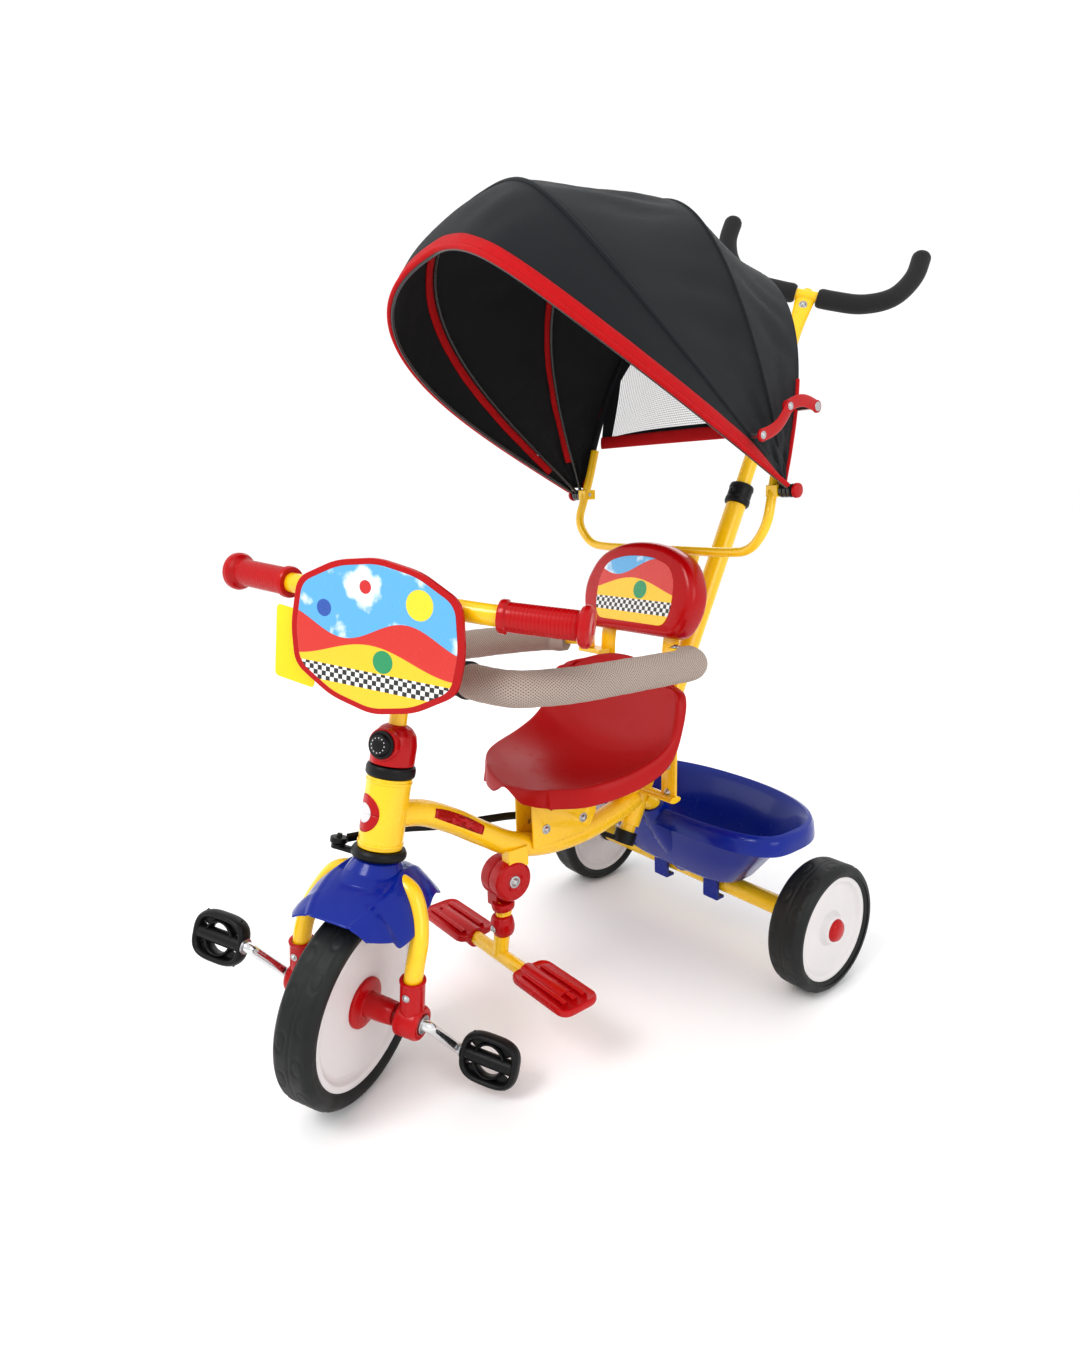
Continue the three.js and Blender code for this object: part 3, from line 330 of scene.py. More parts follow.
def moulded(name, color, rough=0.28, grain=900.0, depth=0.00004, coat=0.0):
    """Injection-moulded plastic: fine grain, slow waviness, faint scuffing and handling marks."""
    n = Nodes(name)
    cloud = n.noise(7, 3)
    scuff = n.span(n.noise(60, 8), 0.58, 0.72)
    n.set(Base_Color=n.mix(cloud, shade(color, 0.86), shade(color, 1.12)))
    skin = n.span(cloud, 0.3, 0.7, rough - 0.04, rough + 0.05)
    n.set(Roughness=n.math("ADD", skin, n.math("MULTIPLY", scuff, 0.1)))
    n.set(Coat_Weight=coat, Coat_Roughness=0.08, IOR=1.49, Specular_IOR_Level=0.32)
    waves = n.math("MULTIPLY", n.noise(22, 1), 6.0)
    n.bump(n.math("ADD", waves, n.noise(grain, 2)), 0.35, depth)
    return n.material


def painted(name, color):
    """Powder coat on steel tube: orange peel, slight depth in the colour, tiny chips."""
    n = Nodes(name)
    cloud = n.noise(9, 4)
    chips = n.span(n.noise(240, 4), 0.735, 0.75)
    body = n.mix(cloud, shade(color, 0.9), shade(color, 1.08))
    n.set(Base_Color=n.mix(chips, body, shade(color, 0.45)))
    n.set(Roughness=n.span(n.noise(35, 4), 0.3, 0.7, 0.2, 0.34))
    n.set(Coat_Weight=0.55, Coat_Roughness=0.06, IOR=1.5)
    n.bump(n.noise(420, 2), 0.22, 0.0001)
    return n.material


def metal(name, color, rough):
    n = Nodes(name)
    smear = n.noise(30, 6)
    n.set(Base_Color=n.mix(smear, shade(color, 0.86), color), Metallic=1.0)
    n.set(Roughness=n.span(smear, 0.3, 0.75, rough, rough + 0.14))
    n.bump(n.noise(500, 2), 0.1, 0.00005)
    return n.material


def rubber(name, color, rough=0.62):
    n = Nodes(name)
    dust = n.span(n.noise(14, 6), 0.45, 0.75)
    n.set(Base_Color=n.mix(dust, color, tuple(c + 0.008 for c in color)))
    skin = n.span(n.noise(40, 5), 0.3, 0.7, rough - 0.08, rough + 0.1)
    n.set(Roughness=skin, Specular_IOR_Level=0.4)
    n.bump(n.noise(800, 3), 0.4, 0.0001)
    return n.material


def foam_knit(name, color, cell=0.0068):
    """Knitted mesh sleeve over foam: crossing diagonal threads with open cells between. Painted shade darkens the
    cells and painted light brightens the threads.
    """
    n = Nodes(name)
    u, v, _ = n.parts(n.uv())
    wave_a, wave_b = (n.sine(n.math(way, u, v), 2 * math.pi / cell) for way in ("ADD", "SUBTRACT"))
    threads = n.math("MAXIMUM", n.math("ABSOLUTE", wave_a), n.math("ABSOLUTE", wave_b))
    depth = n.span(threads, 0.5, 0.9)
    fuzz = n.noise(900, 4)
    # painted shade: the open cells between the threads are darkened to a third of the colour, and the thread tops are
    # lightened as a painted highlight
    knit_cell_shade = n.mix(depth, shade(color, 0.3), shade(color, 1.15))
    n.set(Base_Color=n.mix(n.math("MULTIPLY", fuzz, 0.3), knit_cell_shade, shade(color, 0.8)))
    n.set(Roughness=0.9, Sheen_Weight=0.25, Sheen_Roughness=0.4, Sheen_Tint=(*shade(color, 1.5), 1))
    n.bump(n.math("ADD", depth, n.math("MULTIPLY", fuzz, 0.3)), 0.6, 0.0006)
    return n.material


def soft_foam(name, color):
    """Closed-cell foam: fine pores and a dull skin."""
    n = Nodes(name)
    pores = n.add("TexVoronoi", {"Vector": n.place(), "Scale": 900.0}).outputs["Distance"]
    n.set(Base_Color=n.mix(n.noise(30, 4), shade(color, 0.8), shade(color, 1.6)))
    n.set(Roughness=0.88, Sheen_Weight=0.12, Sheen_Roughness=0.5)
    n.bump(n.math("ADD", pores, n.math("MULTIPLY", n.noise(90, 3), 0.6)), 0.5, 0.00035)
    return n.material


def woven(name, color, thread=0.0011, sheen=0.18, gloss=0.4):
    """Plain-weave polyester: over-and-under threads, soft creases, a dull sheen. The weave is painted lighter and
    darker by turns, as painted light and shade on the threads.
    """
    n = Nodes(name)
    u, v, _ = n.parts(n.uv())
    across, along = (n.sine(way, 2 * math.pi / thread) for way in (u, v))
    weave = n.math("MULTIPLY", across, along)
    slub = n.noise(160, 4)
    # painted light and shade: the threads are painted lighter and darker by turns across the weave, not in the cloth's
    # own colour
    body = n.mix(n.span(weave, -1, 1), shade(color, 0.7), shade(color, 1.35))
    n.set(Base_Color=n.mix(n.math("MULTIPLY", slub, 0.45), body, shade(color, 1.6)))
    n.set(Roughness=0.6, Sheen_Weight=sheen, Sheen_Roughness=0.35, Specular_IOR_Level=gloss)
    crease = n.math("MULTIPLY", n.noise(16, 5), 5.0)
    n.bump(n.math("ADD", n.math("MULTIPLY", weave, 0.5), crease), 0.5, 0.0007)
    return n.material


def open_mesh(name, color, cell=0.0034):
    """Net window: pale threads round open holes."""
    n = Nodes(name)
    u, v, _ = n.parts(n.uv())
    wave_a, wave_b = (n.math("ABSOLUTE", n.sine(way, math.pi / cell)) for way in (u, v))
    solid = n.span(n.math("MULTIPLY", wave_a, wave_b), 0.24, 0.36, 1.0, 0.0)
    n.set(Base_Color=n.mix(n.noise(300, 3), shade(color, 0.9), color), Roughness=0.8, Alpha=solid)
    n.bump(solid, 0.5, 0.0003)
    return n.material


YELLOW = painted("yellow_paint", (0.94, 0.58, 0.006))
RED = moulded("red_plastic", (0.46, 0.0015, 0.004), 0.24, coat=0.12)
RED_SEAT = moulded("red_seat_plastic", (0.42, 0.0012, 0.003), 0.36, 700, 0.00008)
BLUE = moulded("blue_plastic", (0.0015, 0.019, 0.27), 0.2, coat=0.2)
WHITE = moulded("white_plastic", (0.72, 0.69, 0.69), 0.36)
BLACK = moulded("black_plastic", (0.005, 0.005, 0.006), 0.4, 1200)
TYRE = rubber("tyre_rubber", (0.008, 0.009, 0.009), 0.5)
CHROME = metal("chromed_steel", (0.78, 0.79, 0.8), 0.1)
ZINC = metal("zinc_steel", (0.55, 0.56, 0.57), 0.28)
KNIT = foam_knit("grey_mesh_foam", (0.42, 0.345, 0.3))
FOAM = soft_foam("black_foam", (0.012, 0.012, 0.013))
CLOTH = woven("black_cloth", (0.0075, 0.009, 0.0115), sheen=0.05, gloss=0.3)
BINDING = woven("red_binding", (0.44, 0.003, 0.006), 0.0016, 0.06, 0.2)
NET = open_mesh("white_net", (0.85, 0.85, 0.85))
WIRE = painted("black_wire", (0.015, 0.015, 0.016))

# ---- geometry


def spans(path):
    """The length of each step along a path."""
    return np.linalg.norm(np.diff(path, axis=0), axis=1)


def distances(path):
    """How far along the path each of its points lies."""
    return np.concatenate([[0], np.cumsum(spans(path))])


def bent(corners, bend, steps=8):
    """The corners as a path, each inner corner rounded."""
    points = [np.array(c, float) for c in corners]
    path = [points[0]]
    for a, b, c in zip(points, points[1:], points[2:]):
        reach = min(bend, np.linalg.norm(b - a) * 0.48, np.linalg.norm(c - b) * 0.48)
        start = b + (a - b) * reach / np.linalg.norm(a - b)
        end = b + (c - b) * reach / np.linalg.norm(c - b)
        for t in np.linspace(0, 1, steps + 1):
            path.append((1 - t) ** 2 * start + 2 * t * (1 - t) * b + t * t * end)
    return np.array(path + [points[-1]])


def smooth(corners, steps):
    """Centripetal Catmull-Rom curve through the corners."""
    p = [np.array(c, float) for c in corners]
    p = [2 * p[0] - p[1], *p, 2 * p[-1] - p[-2]]
    out = []
    for s in np.linspace(0, len(p) - 3, steps + 1):
        i = min(int(s), len(p) - 4)
        q = p[i:i + 4]
        d = [max(np.linalg.norm(q[k + 1] - q[k]) ** 0.5, 1e-6) for k in range(3)]
        m1 = (q[1] - q[0]) / d[0] - (q[2] - q[0]) / (d[0] + d[1]) + (q[2] - q[1]) / d[1]
        m2 = (q[2] - q[1]) / d[1] - (q[3] - q[1]) / (d[1] + d[2]) + (q[3] - q[2]) / d[2]
        m1, m2 = m1 * d[1], m2 * d[1]
        t = s - i
        h = (2 * t**3 - 3 * t**2 + 1, t**3 - 2 * t**2 + t, 3 * t**2 - 2 * t**3, t**3 - t**2)
        out.append(h[0] * q[1] + h[1] * m1 + h[2] * q[2] + h[3] * m2)
    return np.array(out)


def resample(path, step):
    """The path again in even steps of about this length."""
    path = np.array(path)
    gone = distances(path)
    marks = np.linspace(0, gone[-1], max(int(gone[-1] / step), 2) + 1)
    return np.stack([np.interp(marks, gone, path[:, k]) for k in range(3)], 1)


def grid_faces(rows, columns, loop):
    faces = []
    for i in range(rows - 1):
        for j in range(columns if loop else columns - 1):
            k = (j + 1) % columns
            here, above = i * columns, (i + 1) * columns
            faces.append((here + j, here + k, above + k, above + j))
    return faces


def end_caps(rows, columns):
    """Faces that close the first and the last row of a looped grid."""
    ring = range(columns)
    return [tuple(ring)[::-1], tuple((rows - 1) * columns + j for j in ring)]


def flat_uv(points, second=2):
    """Texture coordinates in metres from X and one more axis."""
    return [(p[0] * 0.001, p[second] * 0.001) for p in points]


def sweep(path, radius, sides=24, up=(1, 0, 0)):
    """A closed tube or bar along a path. radius is a number, a pair (one half width towards up, one
    square to it) or a list of either."""
    path = np.array(path, float)
    count = len(path)
    radii = list(radius) if isinstance(radius, list) else [radius] * count
    ahead = np.gradient(path, axis=0)
    ahead /= np.linalg.norm(ahead, axis=1)[:, None]
    side = np.array(up, float)
    gone = distances(path)
    points, uv = [], []
    for i in range(count):
        side = side - ahead[i] * (side @ ahead[i])
        side /= np.linalg.norm(side)
        other = np.cross(ahead[i], side)
        r = radii[i] if isinstance(radii[i], tuple) else (radii[i], radii[i])
        for j in range(sides):
            t = 2 * math.pi * j / sides
            points.append(path[i] + side * r[0] * math.cos(t) + other * r[1] * math.sin(t))
            uv.append((t * max(r) * 0.001, gone[i] * 0.001))
    return np.array(points), grid_faces(count, sides, True) + end_caps(count, sides), uv


def lathe(profile, segments=72, axis="Z", shape=None):
    """Solid of revolution from (radius, height) corners; shape may move each point."""
    points, uv = [], []
    run = 0.0
    for i, (r, h) in enumerate(profile):
        run += math.dist((r, h), profile[i - 1]) if i else 0
        for j in range(segments):
            t = 2 * math.pi * j / segments
            rr, hh = shape(r, h, t) if shape else (r, h)
            p = (rr * math.cos(t), rr * math.sin(t), hh)
            points.append(p if axis == "Z" else (p[2], p[0], p[1]))
            uv.append((t * max(r, 5) * 0.001, run * 0.001))
    faces = grid_faces(len(profile), segments, True)
    for (r, _), cap in zip((profile[0], profile[-1]), end_caps(len(profile), segments)):
        if r > 1e-6 and profile[0] != profile[-1]:
            faces.append(cap)
    return np.array(points), faces, uv


def rounded(profile, bend, steps=3):
    """A lathe profile with its corners eased."""
    path = bent([(r, h, 0) for r, h in profile], bend, steps)
    return [(max(p[0], 0.0), p[1]) for p in path]


def closed(profile):
    return profile + profile[:1]


def both_ways(half):
    """A profile from its positive half: the half, then its mirror image back again."""
    return half + [(r, -h) for r, h in half[::-1]]


def spun(profile, bend, segments, axis="Z", steps=3):
    """A turned part with eased corners."""
    return lathe(rounded(profile, bend, steps), segments, axis)


def sheet(surface, across, along, scale):
    """An open sheet from surface(u, v) with u and v from 0 to 1."""
    points, uv = [], []
    for i in range(along + 1):
        for j in range(across + 1):
            u, v = j / across, i / along
            points.append(surface(u, v))
            uv.append((u * scale[0], v * scale[1]))
    return np.array(points), grid_faces(along + 1, across + 1, False), uv


def plate(outline, back, front):
    """A flat slab in the XZ plane between two depths along Y."""
    count = len(outline)
    points = [(x, y, z) for y in (front, back) for x, z in outline]
    faces = [tuple(range(count)), tuple(range(count, 2 * count))[::-1]]
    faces += [(i, i + count, (i + 1) % count + count, (i + 1) % count) for i in range(count)]
    return np.array(points, float), faces, flat_uv(points)


def stacked(outline, centre, levels):
    """Rings of (x, y, level), each the outline drawn in towards the centre by its own inset."""
    rings = []
    for level, inset in levels:
        for corner in outline:
            p = np.array(corner) - centre
            q = centre + p * (1 - inset / np.linalg.norm(p))
            rings.append((q[0], q[1], level))
    return rings, grid_faces(len(levels), len(outline), True) + end_caps(len(levels), len(outline))


def block(size, place):
    """A box of this size about this middle."""
    s, c = np.array(size) / 2, np.array(place)
    signs = [(a, b, d) for d in (-1, 1) for b in (-1, 1) for a in (-1, 1)]
    points = np.array([c + s * np.array(g) for g in signs])
    faces = [(0, 2, 3, 1), (4, 5, 7, 6), (0, 1, 5, 4), (2, 6, 7, 3), (0, 4, 6, 2), (1, 3, 7, 5)]
    return points, faces, flat_uv(points)


class Piece:
    """Collects shapes in millimetres and makes one object that rides on a body."""

    def __init__(self, name, body, stands_for=(), place=ROOT, slot=None):
        self.name, self.body, self.stands_for = name, body, stands_for
        self.place, self.slot = place, slot
        self.points, self.faces, self.uv, self.paint, self.materials = [], [], [], [], []

    def add(self, shape, material, move=ROOT):
        points, faces, uv = shape
        base = len(self.points)
        matrix = MM @ self.place @ move
        self.points += [matrix @ Vector(p) for p in points]
        self.uv += list(uv)
        if material not in self.materials:
            self.materials.append(material)
        index = self.materials.index(material)
        self.faces += [tuple(base + i for i in f) for f in faces]
        self.paint += [index] * len(faces)
        return self

    def done(self, bevel=0.0, subdivide=0, angle=38, thickness=0.0, offset=-1.0):
        mesh = bpy.data.meshes.new(self.name)
        mesh.from_pydata(self.points, [], self.faces)
        for material in self.materials:
            mesh.materials.append(material)
        mesh.polygons.foreach_set("material_index", self.paint)
        layer = mesh.uv_layers.new(name="UVMap")
        for loop in mesh.loops:
            layer.data[loop.index].uv = self.uv[loop.vertex_index]
        mesh.validate()
        mesh.polygons.foreach_set("use_smooth", [True] * len(mesh.polygons))
        piece = bpy.data.objects.new(self.name, mesh)
        bpy.context.scene.collection.objects.link(piece)
        fix_normals(mesh)
        if angle:
            mesh.set_sharp_from_angle(angle=math.radians(angle))
        if thickness:
            solid = piece.modifiers.new("thickness", "SOLIDIFY")
            solid.thickness, solid.offset, solid.use_rim = thickness * 0.001, offset, True
        if bevel:
            ease_edges(piece, bevel, 3, 40, False)
        if subdivide:
            fine = piece.modifiers.new("fine", "SUBSURF")
            fine.levels = fine.render_levels = subdivide
        if self.body:
            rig.ride(piece, self.body)
        if self.stands_for:
            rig.replaces(piece, *self.stands_for)
        if self.slot:
            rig.slot(piece, self.slot)
        return piece


def ease_edges(piece, width, segments, degrees, harden):
    edge = piece.modifiers.new("edges", "BEVEL")
    edge.width, edge.segments, edge.limit_method = width * 0.001, segments, "ANGLE"
    edge.angle_limit = math.radians(degrees)
    edge.harden_normals = harden


def fix_normals(mesh):
    work = bmesh.new()
    work.from_mesh(mesh)
    bmesh.ops.recalc_face_normals(work, faces=work.faces)
    work.to_mesh(mesh)
    work.free()


MIRROR = Matrix.Scale(-1, 4, (1, 0, 0))


def moved(x, y, z):
    return Matrix.Translation((x, y, z))


def turn(degrees, axis):
    return Matrix.Rotation(math.radians(degrees), 4, axis)


def on_axis(a, distance):
    return Vector(a["foot"]) + axis_of(a) * distance


# ---- looks of the CAD nodes


def finish_node(name, material):
    node = nodes[name]
    node.data.materials.clear()
    node.data.materials.append(material)
    node.data.polygons.foreach_set("use_smooth", [True] * len(node.data.polygons))
    weld = node.modifiers.new("weld", "WELD")
    weld.merge_threshold = 0.00002
    ease_edges(node, 0.6, 2, 35, True)


slots = {p["node"]: p["material_slot"] for p in frame["record"]["subparts"]}
looks = {
    "rubber_tyre": TYRE, "white_plastic": WHITE, "red_plastic": RED, "chromed_steel": CHROME,
    "black_plastic": BLACK, "yellow_paint": YELLOW, "blue_plastic": BLUE, "black_foam": FOAM,
    "grey_foam": KNIT, "bow_steel": WIRE, "canopy_cloth": CLOTH,
}
for name in nodes:
    finish_node(name, looks[slots[name]])

# PIECES-START
# ---- wheels


def ease(value, low, high):
    t = min(max((value - low) / (high - low), 0.0), 1.0)
    return t * t * (3 - 2 * t)


def tyre(name, node, body, place, radius, inner, half, blocks):
    """Solid tyre: two rows of oval outlines, a groove round the middle, a crease at each shoulder."""
    profile = [(inner - 1.5, -half * 0.8), (inner, -half * 0.86), (inner + 4, -half * 0.97)]
    profile += [(radius - 12, -half), (radius - 8, -half)]
    for k in range(35):
        h = -half + 2 * half * k / 34
        drop = max(abs(h) / half - 0.55, 0) / 0.45
        profile.append((radius - 7.5 * drop ** 2.3, h * 0.995))
    profile += [(r, -h) for r, h in profile[4::-1]]
    profile.append(profile[0])

    def shape(r, h, t):
        turn_ = (t * blocks / (2 * math.pi) + (0.5 if h > 0 else 0)) % 1 - 0.5
        along = turn_ * 2 * math.pi * radius / blocks / 10.5
        away = math.hypot(along, (abs(h) - half * 0.46) / 6.2)
        oval = math.exp(-((away - 1) / 0.16) ** 2) * ease(r, radius - 8, radius - 5)
        crease = math.exp(-((r - radius + 10.5) / 0.9) ** 2) * ease(abs(h), half * 0.8, half * 0.95)
        groove = math.exp(-((h / half) / 0.05) ** 2) * ease(r, radius - 4, radius - 1)
        return r - 0.9 * oval - 0.8 * groove, h * (1 - 0.035 * crease)

    piece = Piece(name, body, (node,), place, "rubber_tyre")
    piece.add(lathe(profile, blocks * 18, "X", shape), TYRE).done(angle=50)


def inner_ribs(inner, outer, depth, count, side):
    """Recesses between ribs on the inner side of a rear wheel disc; the outer side stays smooth."""
    def shape(r, h, t):
        inside = ease(r, inner, inner + 5) * (1 - ease(r, outer - 5, outer))
        gap = ease(abs((t * count / (2 * math.pi)) % 1 - 0.5), 0.1, 0.17)
        return r, h - math.copysign(depth, h) * inside * gap * (1 if h * side < 0 else 0)
    return shape


front_place = STEER @ moved(0, 0, FRONT_R)
tyre("front_tread", "front_tyre", "front_wheel", front_place, FRONT_TREAD, 95.5, 24.25, 16)
half_disc = [(17.6, 11.5), (29, 11.5), (32, 11.6), (80, 11.6), (84, 14), (87, 19.2), (93, 20), (95, 19)]
profile = closed(rounded(both_ways(half_disc), 1.6))
front_disc = Piece("front_disc", "front_wheel", ("front_wheel_disc",), front_place, "white_plastic")
front_disc.add(lathe(profile, 120, "X"), WHITE).done(angle=50)

hub = [(6.6, 53.6), (12.6, 53.6), (13.6, 40), (14.2, 17.5), (22, 17), (28.6, 15.4), (28.8, 12.6)]
front_hub = Piece("front_hub_shell", "front_wheel", ("front_hub",), front_place, "red_plastic")
front_hub.add(spun(both_ways(hub), 1.4, 64, "X"), RED).done()

CRANK, CRANK_TURN = 73.6, math.radians(-51.7)
cy, cz = CRANK * math.cos(CRANK_TURN), CRANK * math.sin(CRANK_TURN)
arm = [(176, cy, cz), (106, cy, cz), (96, 0, 0), (-96, 0, 0), (-106, -cy, -cz), (-176, -cy, -cz)]
crank = Piece("crank_rod", "front_wheel", ("crank_axle",), front_place, "chromed_steel")
crank.add(sweep(resample(bent(arm, 8, 8), 2.5), 6, 24, up=(0, 1, 0)), CHROME)
nut = rounded([(0, 3.4), (5, 3.4), (6.8, 1.6), (6.8, -1), (0, -1)], 0.8)
washer = [(6.1, 0), (8.6, 0), (8.6, 1.4), (6.1, 1.4), (6.1, 0)]
for side in (1, -1):
    for x, profile in ((179, nut), (112.6, washer)):
        spot = moved(side * x, side * cy, side * cz) @ turn(90 * side, "Y")
        crank.add(lathe(profile, 28), ZINC, spot)
crank.done()


def loop_path(half_x, half_z, power, steps=72):
    """A rounded rectangle as one closed run of points, in the XZ plane."""
    ring = []
    for k in range(steps + 1):
        t = 2 * math.pi * k / steps
        x, z = (math.copysign(abs(w) ** power, w) for w in (math.cos(t), math.sin(t)))
        ring.append((half_x * x, 0, half_z * z))
    return ring


for side, name in SIDES:
    place = STEER @ moved(side * 148.8, side * cy, side * cz + FRONT_R) @ turn(-18, "X")
    pedal = Piece(f"pedal_shell_{name}", f"{name}_pedal", (f"pedal_{name}",), place, "black_plastic")
    pedal.add(sweep(loop_path(31.6, 24.0, 0.62), (4.5, 8.9), 24, up=(1, 0, 0)), BLACK)
    pedal.add(sweep(loop_path(18.5, 18.5, 1.0, 56), (2.2, 7.2), 16, up=(1, 0, 0)), BLACK)
    barrel = [(0, -32), (7.6, -32), (8.4, -28), (8.4, 28), (7.6, 32), (0, 32)]
    pedal.add(spun(barrel, 1, 36, "X"), BLACK)
    for x, z in ((1, 1), (1, -1), (-1, 1), (-1, -1)):
        strut = [(x * 13, 0, z * 13), (x * 27.5, 0, z * 21)]
        pedal.add(sweep(strut, (2.0, 6.8), 16, up=(0, 1, 0)), BLACK)
    pedal.done(angle=40)

for side, name in SIDES:
    place = moved(side * 221.4, REAR_Y, REAR_R)
    body = f"{name}_rear_wheel"
    tyre(f"rear_tread_{name}", f"rear_tyre_{name}", body, place, REAR_R, 73, 24.9, 12)
    half_disc = [(6.5, 22.6), (18.5, 22.6), (20, 20), (24, 14.4), (58, 13.4)]
    half_disc += [(62, 15), (66, 19.4), (71, 20), (72.6, 19)]
    profile = closed(rounded(both_ways(half_disc), 1.8))
    disc = Piece(f"rear_disc_{name}", body, (f"rear_wheel_disc_{name}",), place, "white_plastic")
    disc.add(lathe(profile, 160, "X", inner_ribs(27, 58, 3.2, 10, side)), WHITE).done(angle=50)
    dome = rounded([(0, 7.6), (8, 7), (13.4, 4.6), (15.6, 0.8), (15.6, -1.2), (0, -1.2)], 1.2)
    cap = Piece(f"rear_cap_{name}", body, (), place, "red_plastic")
    cap.add(lathe(dome, 48), RED, moved(side * 22.8, 0, 0) @ turn(90 * side, "Y")).done()

# ---- frame


def tube(name, node, body, path, radius, place=ROOT, step=5, up=(1, 0, 0)):
    piece = Piece(name, body, (node,), place, "yellow_paint")
    return piece.add(sweep(resample(path, step), radius, 32, up), YELLOW)


def bolt(piece, place, radius, height, material=ZINC):
    """Domed bolt with a washer, standing up its own Z from the surface."""
    wide = radius * 1.5
    washer = [(0, 0.9), (radius * 1.4, 0.9), (wide, 0.3), (wide, -0.4), (0, -0.4)]
    dome = [(0, height + 0.9), (radius * 0.55, height * 0.85 + 0.9), (radius, 1.1), (radius, 0), (0, 0)]
    piece.add(spun(washer, 0.3, 28), material, place)
    piece.add(spun(dome, 0.5, 28), material, place)


main_line = smooth([
    (0, 62, 318), (0, 100, 310), (0, 140, 289), (0, 180, 262), (0, 222, 236),
    (0, 270, 221), (0, 330, 217), (0, 390, 225), (0, 440, 240),
], 60)
tube("main_tube_skin", "main_tube", "frame", main_line, 15.4).done()

head = Piece("head_tube_skin", "frame", ("head_tube",), onto(HEAD), "yellow_paint")
ring = rounded([(22, 174.6), (25, 174.6), (25, 254.9), (22, 254.9)], 0.8)
head.add(lathe(closed(ring), 72), YELLOW)
for low in (178.5, 248.5):
    head.add(spun([(24.6, low), (25.9, low), (25.9, low + 3), (24.6, low + 3)], 0.7, 72), YELLOW)
head.done()


def round_patch(name, body, place, radius, height, size, material, lift):
    """A round sticker wrapped on a tube that stands up Z, facing -Y."""
    def at(u, v):
        reach, t = v * size, 2 * math.pi * u
        a = reach * math.cos(t) / radius
        out = radius + lift
        return out * math.sin(a), -out * math.cos(a), height + reach * math.sin(t)

    patch = Piece(name, body, (), place)
    patch.add(sheet(at, 48, 8, (0.05, 0.02)), material)
    patch.done(angle=0, thickness=0.2, offset=0.0)


round_patch("head_tube_roundel", "frame", onto(HEAD), 25, 214, 21, RED, 0.35)
round_patch("head_tube_roundel_centre", "frame", onto(HEAD), 25, 214, 11, WHITE, 0.75)


def tube_patch(u, v):
    """A flash on the left side of the main tube, a little over its middle."""
    k = 0.16 + 0.2 * u
    i = int(k * (len(main_line) - 1))
    here, ahead = main_line[i], main_line[i + 1] - main_line[i]
    above = np.array([0, -ahead[2], ahead[1]]) / np.linalg.norm(ahead)
    edge = 1 - 0.25 * abs(2 * u - 1) ** 3
    a = math.radians(18 + 52 * (v - 0.5) * edge)
    return tuple(here + 15.9 * (np.array([1, 0, 0]) * math.cos(a) + above * math.sin(a)))


flash = Piece("main_tube_sticker", "frame", (), ROOT, "red_plastic")
flash.add(sheet(tube_patch, 24, 8, (0.06, 0.015)), RED).done(angle=0, thickness=0.2, offset=0.0)

bearings = ("lower_head_bearing", "upper_head_bearing")
collars = Piece("head_bearings_skin", "frame", bearings, onto(HEAD), "black_plastic")
for profile in (
    [(11, 163.2), (28.6, 163.2), (31, 166), (31, 170), (28.8, 174.1), (11, 174.1)],
    [(11, 255.4), (26, 255.4), (27.6, 258), (27.6, 264.5), (26.4, 267.9), (11, 267.9)],
):
    collars.add(spun(profile, 1, 72), BLACK)
collars.done()

socket = Piece("pole_socket_skin", "frame", ("pole_socket",), onto(POLE), "yellow_paint")
wall = [(12, 16), (14.5, 16), (14.5, 504), (12, 504)]
socket.add(lathe(rounded(wall, 0.5) + [(12, 16.4)], 48), YELLOW).done()
clamp = Piece("pole_collar_skin", "frame", ("pole_collar",), onto(POLE), "black_plastic")
sleeve = [(11.6, 504.3), (17, 504.3), (18.2, 507), (18.2, 512), (17.2, 514)]
sleeve += [(17.2, 526), (18, 529), (17, 534), (11.6, 534)]
clamp.add(spun(sleeve, 0.9, 60), BLACK)
bolt(clamp, moved(0, -17.4, 519) @ turn(90, "X"), 4, 4, BLACK)
clamp.done()

stay_line = bent([(0, 452, 240), (0, 478, 220), (0, 508, 168), (0, 564, 95)], 30)
tube("rear_stay_skin", "rear_stay", "frame", stay_line, (17.4, 13.4)).done()
axle = Piece("rear_axle_skin", "frame", ("rear_axle",), moved(0, REAR_Y, REAR_R), "yellow_paint")
axle.add(spun([(0, -189), (14, -189), (14, 189), (0, 189)], 1, 48, "X"), YELLOW)
axle.add(lathe([(0, -239), (6, -239), (6, 239), (0, 239)], 32, "X"), CHROME)
for side in (1, -1):
    spacer = spun([(6.6, 189.4), (15.5, 189.4), (15.5, 197), (6.6, 197)], 1, 40)
    axle.add(spacer, BLACK, turn(90 * side, "Y"))
axle.done()

posts = Piece("backrest_posts", "frame", ("backrest_frame",), ROOT, "yellow_paint")
for side in (1, -1):
    line = bent([(side * POST_X, 449, 252), (side * POST_X, 449, 466), (side * POST_X, 488, 578)], 20)
    posts.add(sweep(resample(line, 5), (14, 3.4), 28, up=(1, 0, 0)), YELLOW)
    for z in (262, 300):
        bolt(posts, moved(side * POST_X, 445.4, z) @ turn(90, "X"), 3.6, 2.6)
posts.add(sweep([(-73, 447, 254), (73, 447, 254)], (4.6, 10.6), 24, up=(0, 0, 1)), YELLOW)
posts.add(sweep([(0, 406, 254), (0, 445, 254)], (15, 4.6), 24), YELLOW)
for side in (1, -1):
    posts.add(block((44, 24, 6), (side * 73, 436.5, 443.5)), YELLOW)
    pin = lathe([(0, 441), (3, 441), (3, 468), (0, 468)], 20)
    posts.add(pin, ZINC, moved(side * GUARD_X, GUARD_Y, 0))
    bolt(posts, moved(side * GUARD_X, GUARD_Y, 467.6), 4.4, 2.2)
posts.done(bevel=0.5)

seat_bolts = Piece("seat_bracket_bolts", "frame", (), ROOT, "yellow_paint")
for side in (1, -1):
    for y, z in ((267, 247), (329, 246)):
        bolt(seat_bolts, moved(side * 18.4, y, z) @ turn(90 * side, "Y"), 4.4, 3)
seat_bolts.done()

# ---- saddle and backrest


